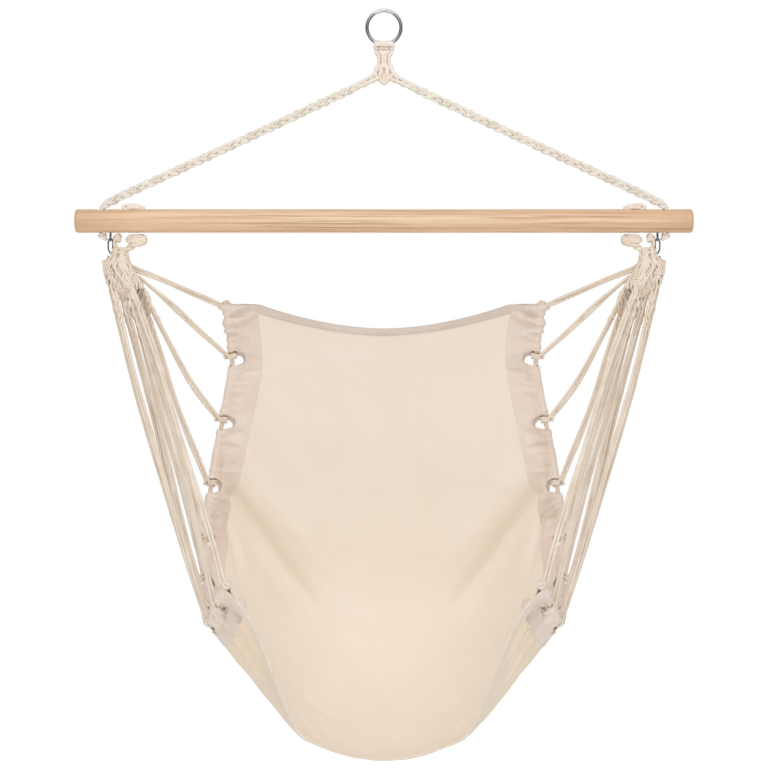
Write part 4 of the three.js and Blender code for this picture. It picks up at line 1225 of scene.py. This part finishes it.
def makeHooks(settings):
    eyeZ = seatPivot - settings["wire"] - settings["play"] - settings["eyeWire"] + settings["eyeMean"]
    eye = addedTorus(settings["eyeMean"], settings["eyeWire"], 40, 14, (eyeX, 0, eyeZ), (0, math.pi / 2, 0))
    applyTransform()
    low, high = eyeZ + settings["eyeMean"] - settings["overlap"], barBottom + settings["shankRise"]
    shank = addedRod((eyeX, 0, (low + high) / 2), settings["shank"], high - low, 24)
    eye = placedMesh(united(eye, [shank]), "screwEye_left", dullSteel)
    bpy.ops.object.shade_smooth_by_angle(angle=math.radians(40))
    dress(eye, "hanger", "steel", "screw_eye_left")
    dress(mirroredCopy(eye, "screwEye_right"), "hanger", "steel", "screw_eye_right")
    low, reach = seatPivot - settings["length"], settings["halfWidth"]
    length = settings["length"]
    cross = low + length * 0.4
    points = [(0.85, cross + length * 0.15), (1, cross + length * 0.35),
              (0.75, seatPivot - reach * 0.3), (0, seatPivot), (-0.75, seatPivot - reach * 0.3),
              (-1, cross + length * 0.35), (-0.8, cross + length * 0.12), (0, cross),
              (0.8, cross - length * 0.08), (1, low + reach), (0.7, low + reach * 0.25), (0, low),
              (-0.7, low + reach * 0.25), (-1, low + reach), (-0.95, cross - length * 0.12)]
    hook = bentWire("sHook_left", [(eyeX + x * reach, 0, z) for x, z in points], settings["wire"], dullSteel)
    dress(hook, "seat", "steel", "s_hook_left")
    dress(mirroredCopy(hook, "sHook_right"), "seat", "steel", "s_hook_right")


makeHooks(hookSettings)
print("ring, bar and hooks made")

# knotted rope: turns on the ring, the hanger's knots, the turns over the bar
turnSettings = {
    "angles": (-22, -7.3, 7.3, 22), "feet": (-13, -4.4, 4.4, 13), "reach": 4.45, "wide": 3.3, "thin": 0.4,
    "neckZ": -60.4, "loopFrom": -60, "loopTurn": 300, "wrapRadius": 3.7, "coreRadius": 12.4,
    "wrap": ((0, 7, -51.8), (7, 7, -51.8), (12.6, 6.4, -51.9), (15.4, 4, -53.4), (16, 0, -55.4)),
    "coreZs": (-55.4, -57, -60.2),
}


def makeRingTurns(settings):
    parts = newParts()
    mean, centreZ = ringSettings["meanRadius"], ringSettings["centreZ"]
    for angle, foot in zip(settings["angles"], settings["feet"]):
        out = Vector((math.sin(math.radians(angle)), 0, -math.cos(math.radians(angle))))
        wire = Vector((0, 0, centreZ)) + out * mean
        loop = []
        for k in range(13):
            turn = math.radians(settings["loopFrom"] + settings["loopTurn"] * k / 12)
            aside = Vector((0, -math.cos(turn), 0)) * settings["reach"]
            loop.append(wire + out * -math.sin(turn) * settings["reach"] + aside)
        path = [Vector((foot, -5, settings["neckZ"]))] + loop + [Vector((foot, 5, settings["neckZ"]))]
        lead = Vector((math.cos(math.radians(angle)), 0, math.sin(math.radians(angle))))
        addTube(parts, smoothRow(path, 46), settings["wide"], 10, flat=settings["thin"], lead=lead)
    wrap = [Vector((x, -y, z)) for x, y, z in settings["wrap"]]
    wrap += [Vector((p.x, -p.y, p.z)) for p in wrap[-2::-1]]
    wrap += [mirroredPoint(p) for p in wrap[-2:0:-1]]
    addTube(parts, smoothRow(wrap, 80, True), settings["wrapRadius"], 12, flat=0.4, lead=up, closed=True)
    core = [Vector((0, 0, z)) for z in settings["coreZs"]]
    addTube(parts, core, settings["coreRadius"], 20, flat=0.32, lead=sideways)
    return dress(makePiece("ringTurns", parts, softCotton), "turns", "rope", "ring_turns")


hangerSettings = {
    "xs": ((-13, -4.5, 4.5, 13), (-12.4, -4.3, 4.3, 12.4), (-9, -2.5, 2.5, 9), (-8.2, -2.1, 2.1, 8.2),
           (-8.6, -2.4, 2.4, 8.6)),
    "zs": (-63, -65.5, -71, -78, -85), "y": 4.6, "radius": 2.5,
    # core's heights, half widths and depth shares
    "core": ((-61.8, 10, 0.26), (-63, 13.4, 0.34), (-66, 12.6, 0.36), (-71, 9.6, 0.4), (-78, 8.6, 0.42),
             (-84, 8.8, 0.42), (-92, 12, 0.36), (-100, 14.5, 0.34), (-106, 13, 0.38), (-112, 9, 0.46),
             (-116, 3.4, 0.5)),
    # strands that leave the knot: x, share of y and z of their points, then steps, radius and what it loses
    "tailY": 3.6,
    "tails": (
        (((7.2, 1.2, -96), (6.8, 1.3, -103), (4.8, 1.2, -110), (1.2, 0.9, -114.6), (-3.2, 0.6, -113.6)),
         20, 2.9, 0),
        (((9, 1.3, -88), (13, 1.3, -95), (17.4, 1.2, -100.6), (24, 1.1, -105.6), (35, 0.9, -111.4),
          (48, 0.7, -118)), 34, 3.3, 1.4),
        (((7, 1.1, -104), (13, 1.2, -108.5), (22, 1.1, -112.6), (33, 0.9, -117.6), (44, 0.7, -122.6)),
         30, 3.0, 1.2),
    ),
    # the lower knot's cords: x above and below, reach and radius
    "knotCords": ((-8.4, -13.4, 4.7, 3.1), (-2.2, -4.9, 6.3, 3.9), (2.2, 4.9, 6.3, 3.9),
                  (8.4, 13.4, 4.7, 3.1)),
}


def makeHanger(settings):
    parts = newParts()
    for column in range(4):
        for y in (-settings["y"], settings["y"]):
            path = [Vector((row[column], y if i else y * 0.6, z)) for i, (row, z) in enumerate(zip(
                settings["xs"], settings["zs"]))]
            first = path[0] + Vector((0, -y * 0.5, 1.4))
            addTube(parts, smoothRow([first] + path, 28), settings["radius"], 9)
    core = settings["core"]
    last = len(core) - 1
    addTube(parts, [Vector((0, 0, row[0])) for row in core], lambda share: core[round(share * last)][1], 20,
            flat=lambda share: core[round(share * last)][2], lead=sideways)
    for y in (-settings["tailY"], settings["tailY"]):
        for side in (-1, 1):
            for points, steps, thick, loss in settings["tails"]:
                path = smoothRow([(side * x, y * share, z) for x, share, z in points], steps)
                addTube(parts, path, lambda share: thick - loss * share, 9)
    hanger = dress(makePiece("hangerCore", parts, softCotton), "hanger", "rope", "hanger_core")
    knot = newParts()
    for y in (-1, 1):
        for x0, x1, reach, thick in settings["knotCords"]:
            path = [(x0, y * 3.2, -84.6), (x0 * 1.1, y * reach * 0.96, -86.8), (x1 * 0.94, y * reach, -91),
                    (x1 * 1.04, y * reach, -96), (x1 * 1.02, y * reach * 0.86, -100.6),
                    (x1 * 0.9, y * 3, -103.6)]
            addTube(knot, smoothRow(path, 26), thick, 10)
    for side in (-1, 1):
        loop = [(side * 9.8, -3.8, -87), (side * 12.2, 0, -87.6), (side * 9.8, 3.8, -87)]
        addTube(knot, smoothRow(loop, 16), 2.4, 8)
    return hanger, dress(makePiece("lowerKnot", knot, softCotton), "hanger", "rope", "lower_knot")


# a knot of one strand round centre, within the given half sizes
def knotLoop(centre, half, lobes=3, count=60):
    row = []
    for k in range(count):
        t = fullTurn * k / count
        across = (math.sin(t) + 2 * math.sin(2 * t)) / 2.7
        rise = (math.cos(t) - 2 * math.cos(2 * t)) / 3
        row.append(Vector(centre) + Vector((rise * half[0], -math.sin(lobes * t) * half[1],
                                            across * half[2])))
    return row


def addTwinStrands(parts, points, count, radius, apart, turns, start=0.0):
    path = smoothRow(points, count)
    for sign in (1, -1):
        strand = []
        for i, place in enumerate(path):
            way = rowWay(path, i)
            side = turnedAside(way, Vector((0, 1, 0)))
            angle = start + turns * fullTurn * i / (count - 1)
            strand.append(place + turnedRound(way, side, angle) * apart * sign)
        addTube(parts, strand, radius, 8)


barTurnSettings = {
    "y": 2.2, "bulge": 1.25, "radius": 2.1, "swell": 0.9, "swellHalf": 0.36, "swellRun": 0.08,
    "tailRadius": 2.5, "tailApart": 2.1, "tailTurns": 0.1, "knotHalf": (5.6, 3.6, 3.8), "knotRadius": 2.4,
}


def makeBarTurns(settings):
    parts = newParts()
    inner, outer = turnXs[1], turnXs[0]

    def radiusAt(share):
        middle = smooth((settings["swellHalf"] - abs(share - 0.5)) / settings["swellRun"])
        return settings["radius"] + settings["swell"] * middle

    for y in (-settings["y"], settings["y"]):
        low = [(outer + 1.4, barBottom + 3), (outer + 1.4, barTop - 12), (outer + 1.6, barTop - 1),
               (outer + 4, barTop + 2), (outer + 9, barTop + 2.7), (inner - 9, barTop + 2.7),
               (inner - 3.6, barTop + 1.4), (inner - 1.2, barTop - 2), (inner - 1, barTop - 12),
               (inner - 1, barBottom + 3)]
        high = [(outer, barBottom + 3), (outer - 0.2, barTop - 12), (outer - 1.6, barTop - 0.8),
                (outer - 4, barTop + 3.2), (outer - 1.4, barTop + 6.2), (outer + 5, barTop + 6.9),
                (inner - 11, barTop + 6.7), (inner - 3, barTop + 4.8), (inner + 3.2, barTop + 1.9),
                (inner + 1.6, barTop - 2), (inner + 0.4, barTop - 12), (inner, barBottom + 3)]
        for points in (low, high):
            path = [(x, y * (settings["bulge"] if z > barTop else 1), z) for x, z in points]
            addTube(parts, smoothRow(path, 80), radiusAt, 9)
    makePair("barTurn", parts, softCotton, "hanger", "rope", "bar_turn")
    knot = newParts()
    tail = [(ropeHoleX - 3, 0, barBottom - 1.5), (ropeHoleX - 1.5, -1, barBottom - 5),
            (ropeHoleX + 3, -2, barBottom - 9), (ropeHoleX + 6.4, -2.5, barBottom - 11.4)]
    addTwinStrands(knot, tail, 20, settings["tailRadius"], settings["tailApart"], settings["tailTurns"])
    loop = knotLoop((ropeHoleX + 0.3, 1.4, barBottom - 5.4), settings["knotHalf"])
    addTube(knot, loop, settings["knotRadius"], 8, closed=True)
    makePair("stopperKnot", knot, softCotton, "hanger", "rope", "stopper_knot")


headLook = {
    # heights with centre x, half width and depth share, from the neck down to the flare
    "sections": [
        (-380.5, -427, 6.5, 1), (-383.5, -427.6, 10, 1), (-394, -428, 11.6, 1), (-401, -428.6, 13, 1),
        (-407, -430, 17, 1), (-412, -430, 19.6, 1), (-420, -428, 21.6, 0.96), (-434, -422.6, 25, 0.84),
        (-444, -418.6, 27, 0.72), (-453, -415, 22, 0.62), (-461, -412, 11, 0.5),
    ],
    "strands": 32, "strand": 2.0, "strandSteps": 21, "coreInset": 2.7, "coreSteps": 30,
    "lashings": ((-387, 2.4, 1.8), (-392, -2.8, 1.9)),  # height, tilt and radius
    "smallKnots": 18, "smallKnotZs": (-446, -404), "leaveFrom": -392, "leaveDrop": 50, "leaveWide": 4.6,
    "strandTop": -382.5, "strandEnds": (-458, -436), "middleX": -417,
    # the rope that the hook's lower loop holds: a knot and two strands beside it
    "hookKnot": {"centre": (-447.5, 7.4, -405), "half": (8.5, 3.4, 6.5)},
    "hookStrands": (
        (((-440, -4, -393), (-446, -6.4, -402), (-451, -4, -411), (-452, 0, -422), (-448, 4, -432)), 30),
        (((-434, 6, -390), (-444, 8, -396), (-452, 8, -404), (-454, 4, -414), (-451, 0, -427),
          (-446, -3, -440)), 34),
    ),
    # cores of the knots under the bar: xs, height over the hook's turning point, radius, its swell, and sides
    "knotCores": (((-436.6, -435, -431.6, -428.2, -426), 1.4, 4.2, 1.6, 12),
                  ((-415, -411, -401, -390, -384), -1.4, 5, 2, 14)),
    # the loops of those knots: centre with the height as above, half sizes, strand and sides
    "knotLoops": (((-431.6, 0, 1.4), (5.6, 3.4, 5), 2.8, 8), ((-399.6, 0, -1.4), (16, 4.2, 6.4), 3.2, 9),
                  ((-396.4, 0.6, -2), (11.6, 4.4, -6), 3.1, 9)),
    # the short legs, twin strands out of the knots: points as above, steps, radius, distance apart and turns
    "legs": (
        (((-436.4, -1, -1), (-436, -1, -8), (-434, -1, -14), (-431, -1, -20)), 24, 2.2, 1.9, 0.25),
        (((-384.5, -2, 1.6), (-396, -2.4, 3.8), (-409, -2, 3.4), (-415, 0, 0)), 30, 2.6, 2, 0.1),
        (((-390, 0, -5), (-401, -1, -9), (-412, -1, -14), (-422, 0, -19)), 30, 3.0, 2.6, 1.2),
    ),
    # the becket: its radius, its play on the hook and how far its own line lies from the touching side
    "becketRadius": 1.6, "becketPlay": 0.6, "becketReach": 1.7,
}


def headSection(settings, height):
    rows = settings["sections"]
    for upper, lower in zip(rows, rows[1:]):
        if height >= lower[0]:
            share = min(1, max(0, (upper[0] - height) / (upper[0] - lower[0])))
            return [a + (b - a) * share for a, b in zip(upper, lower)]
    return list(rows[-1])


def onHead(settings, height, angle, out):
    _, x, wide, deep = headSection(settings, height)
    return Vector((x + math.cos(angle) * (wide + out), math.sin(angle) * (wide + out) * deep, height))


# strands that come down the head and twine round a cord's first stretch
def addLeavingStrands(parts, settings, entry, number, chance):
    path, _ = cordPath(entry, random.Random(number * 31))
    line = makeLine(path, fineness=4)
    start = path[0]
    angle = math.atan2(start.y / 0.7, start.x - settings["middleX"])
    for turn in (0, math.pi):
        lean, weave = chance.uniform(-0.3, 0.3), chance.uniform(0, 6.3)
        points = []
        for i in range(9):
            height = settings["leaveFrom"] - settings["leaveDrop"] * i / 8
            turned = angle + lean * (1 - i / 8) + 0.14 * math.sin(i * 1.3 + weave)
            points.append(onHead(settings, height, turned, 0.6 + 1.3 * math.sin(i * 1.7 + weave)))
        reach = chance.uniform(45, 95)
        for i in range(13):
            share = (8 + reach * i / 12) / line["length"]
            way = lineWay(line, share)
            side = turnedAside(way, Vector((1, 0, 0.2)))
            phase = turn + i * 0.95 + weave
            wide = settings["leaveWide"] - 1.5 * i / 12
            points.append(lineAt(line, share) + turnedRound(way, side, phase) * wide)
        addTube(parts, smoothRow(points, 90), lambda share: settings["strand"] * (
            1 if share < 0.9 else 1 - (share - 0.9) * 6), 7)


def makeHeads(settings):
    chance = random.Random(5)
    parts = newParts()
    count = settings["coreSteps"]
    high, low = settings["sections"][0][0], settings["sections"][-1][0]
    heights = [high + (low - high) * i / (count - 1) for i in range(count)]
    rings = [headSection(settings, height) for height in heights]
    addTube(parts, [Vector((r[1], 0, h)) for r, h in zip(rings, heights)],
            lambda share: rings[round(share * (count - 1))][2] - settings["coreInset"], 28,
            flat=lambda share: rings[round(share * (count - 1))][3], lead=sideways)
    for k in range(settings["strands"]):
        angle = fullTurn * k / settings["strands"] + chance.uniform(-0.12, 0.12)
        weave, turn = chance.uniform(5, 8), chance.uniform(0, 6.3)
        end = chance.uniform(*settings["strandEnds"])
        path = []
        steps = settings["strandSteps"]
        for i in range(steps + 1):
            height = settings["strandTop"] + (end - settings["strandTop"]) * i / steps
            turned = angle + 0.26 * math.sin(i / steps * weave + turn + math.pi * (k % 2))
            out = 0.2 + 1.5 * math.sin(i / steps * weave * 1.9 + turn * 2)
            path.append(onHead(settings, height, turned, out))
        addTube(parts, smoothRow(path, 40), settings["strand"], 7)
    for number, entry in enumerate(harnessSettings["cords"], 1):
        if entry[1] == "spot":
            addLeavingStrands(parts, settings, entry, number, chance)
    for level, tilt, radius in settings["lashings"]:
        ring = [onHead(settings, level, a, 1.1) + Vector((0, 0, tilt * math.sin(a + 0.6)))
                for a in [k * math.pi / 12 for k in range(24)]]
        addTube(parts, ring, radius, 8, closed=True)
    for k in range(settings["smallKnots"]):
        angle = fullTurn * (k * 0.618)
        height = chance.uniform(*settings["smallKnotZs"])
        centre = onHead(settings, height, angle, -0.6)
        half = (chance.uniform(2.6, 4.2), 2.6, chance.uniform(3.4, 5))
        addTube(parts, knotLoop(centre, half, count=30), 1.6, 6, closed=True)
    addTube(parts, knotLoop(**settings["hookKnot"]), 2.4, 8, closed=True)
    for points, steps in settings["hookStrands"]:
        addTube(parts, smoothRow(points, steps), 2.3, 8)
    for xs, height, radius, swell, sides in settings["knotCores"]:
        addTube(parts, [Vector((x, 0, seatPivot + height)) for x in xs],
                lambda share: radius + swell * math.sin(math.pi * share), sides)
    for (x, y, height), half, strand, sides in settings["knotLoops"]:
        addTube(parts, knotLoop((x, y, seatPivot + height), half), strand, sides, closed=True)
    for points, steps, radius, apart, turns in settings["legs"]:
        path = [(x, y, seatPivot + height) for x, y, height in points]
        addTwinStrands(parts, path, steps, radius, apart, turns)
    hookSeat = seatPivot - hookSettings["length"] + hookSettings["wire"]
    seat = hookSeat + settings["becketPlay"] + settings["becketReach"]
    becket = [(-438, -8.1, -412), (eyeX, -9, -409), (eyeX, -5.4, seat - 1), (eyeX, 0, seat),
              (eyeX, 5.4, seat - 1), (eyeX, 9, -409), (-438, 8.1, -412)]
    addTube(parts, smoothRow(becket, 40), settings["becketRadius"], 8)
    makePair("harnessHead", parts, thinCotton, "seat", "cord", "harness_head")


makeRingTurns(turnSettings)
makeHanger(hangerSettings)
makeBarTurns(barTurnSettings)
makeHeads(headLook)
print("knots made")

# stage: pale floor and soft light
stageSettings = {"floorZ": -1650, "size": 14000, "ambient": 0.5, "floorGlow": 0.7, "floorBounce": 0.2}
lampSettings = (
    {"name": "key", "place": (0, -2000, 2300), "aim": (0, 0, -750), "size": (3000, 2000), "power": 50},
    {"name": "front", "place": (0, -3600, -1300), "aim": (0, 0, -750), "size": (2400, 1800), "power": 36},
)
cardSettings = {"xs": (-1300, 1300), "y": -1400, "z": -350, "spread": (2.6, 2.4, 1)}


# 1 for what is seen straight, in a reflection or through glass
def seenMask(tree):
    rays = node(tree, "LightPath")
    mirrored = calc(tree, "MAXIMUM", rays.outputs["Is Glossy Ray"], rays.outputs["Is Transmission Ray"])
    return calc(tree, "MAXIMUM", rays.outputs["Is Camera Ray"], mirrored)


def makeFloor(settings):
    floor = added(bpy.ops.mesh.primitive_plane_add, (0, 0, settings["floorZ"]), size=settings["size"] * mm)
    floor.name = "floor"
    material, tree, shader = startMaterial("paleFloor", Roughness=0.9)
    shader.inputs["Base Color"].default_value = (0.86, 0.86, 0.86, 1)
    shader.inputs["Emission Color"].default_value = (1, 1, 1, 1)
    glow = node(tree, "MapRange", seenMask(tree), 0.0, 1.0, settings["floorBounce"], settings["floorGlow"])
    tree.links.new(glow.outputs[0], shader.inputs["Emission Strength"])
    floor.data.materials.append(material)


def makeWorld(settings):
    world = bpy.data.worlds.new("paleSurround")
    bpy.context.scene.world = world
    world.use_nodes = True
    tree = world.node_tree
    background = tree.nodes["Background"]
    background.inputs["Color"].default_value = (1, 1, 1, 1)
    strength = node(tree, "MapRange", seenMask(tree), 0.0, 1.0, settings["ambient"], 1.0)
    tree.links.new(strength.outputs[0], background.inputs["Strength"])


def makeLamp(settings):
    data = bpy.data.lights.new(settings["name"], "AREA")
    data.shape = "RECTANGLE"
    data.size, data.size_y = settings["size"][0] * mm, settings["size"][1] * mm
    data.energy = settings["power"]
    lamp = linkedObject(settings["name"], data)
    place, aim = Vector(settings["place"]), Vector(settings["aim"])
    lamp.location = place * mm
    lamp.rotation_euler = (aim - place).to_track_quat("-Z", "Y").to_euler()


# dark cards beside the chair, seen only in reflections
def makeFlag(settings, x):
    flag = added(bpy.ops.mesh.primitive_plane_add, (x, settings["y"], settings["z"]), (0, math.pi / 2, 0),
                 size=1)
    flag.scale = settings["spread"]
    applyTransform()
    flag.name = f"darkCard{round(x)}".replace("-", "n")
    material, _, shader = startMaterial("darkCard", Roughness=1.0)
    shader.inputs["Base Color"].default_value = (0.03, 0.03, 0.035, 1)
    flag.data.materials.append(material)
    flag.visible_camera = flag.visible_diffuse = flag.visible_shadow = flag.visible_transmission = False


makeFloor(stageSettings)
for cardX in cardSettings["xs"]:
    makeFlag(cardSettings, cardX)
makeWorld(stageSettings)
for lampRow in lampSettings:
    makeLamp(lampRow)
bpy.context.scene.view_settings.view_transform = "Standard"
print("stage made")
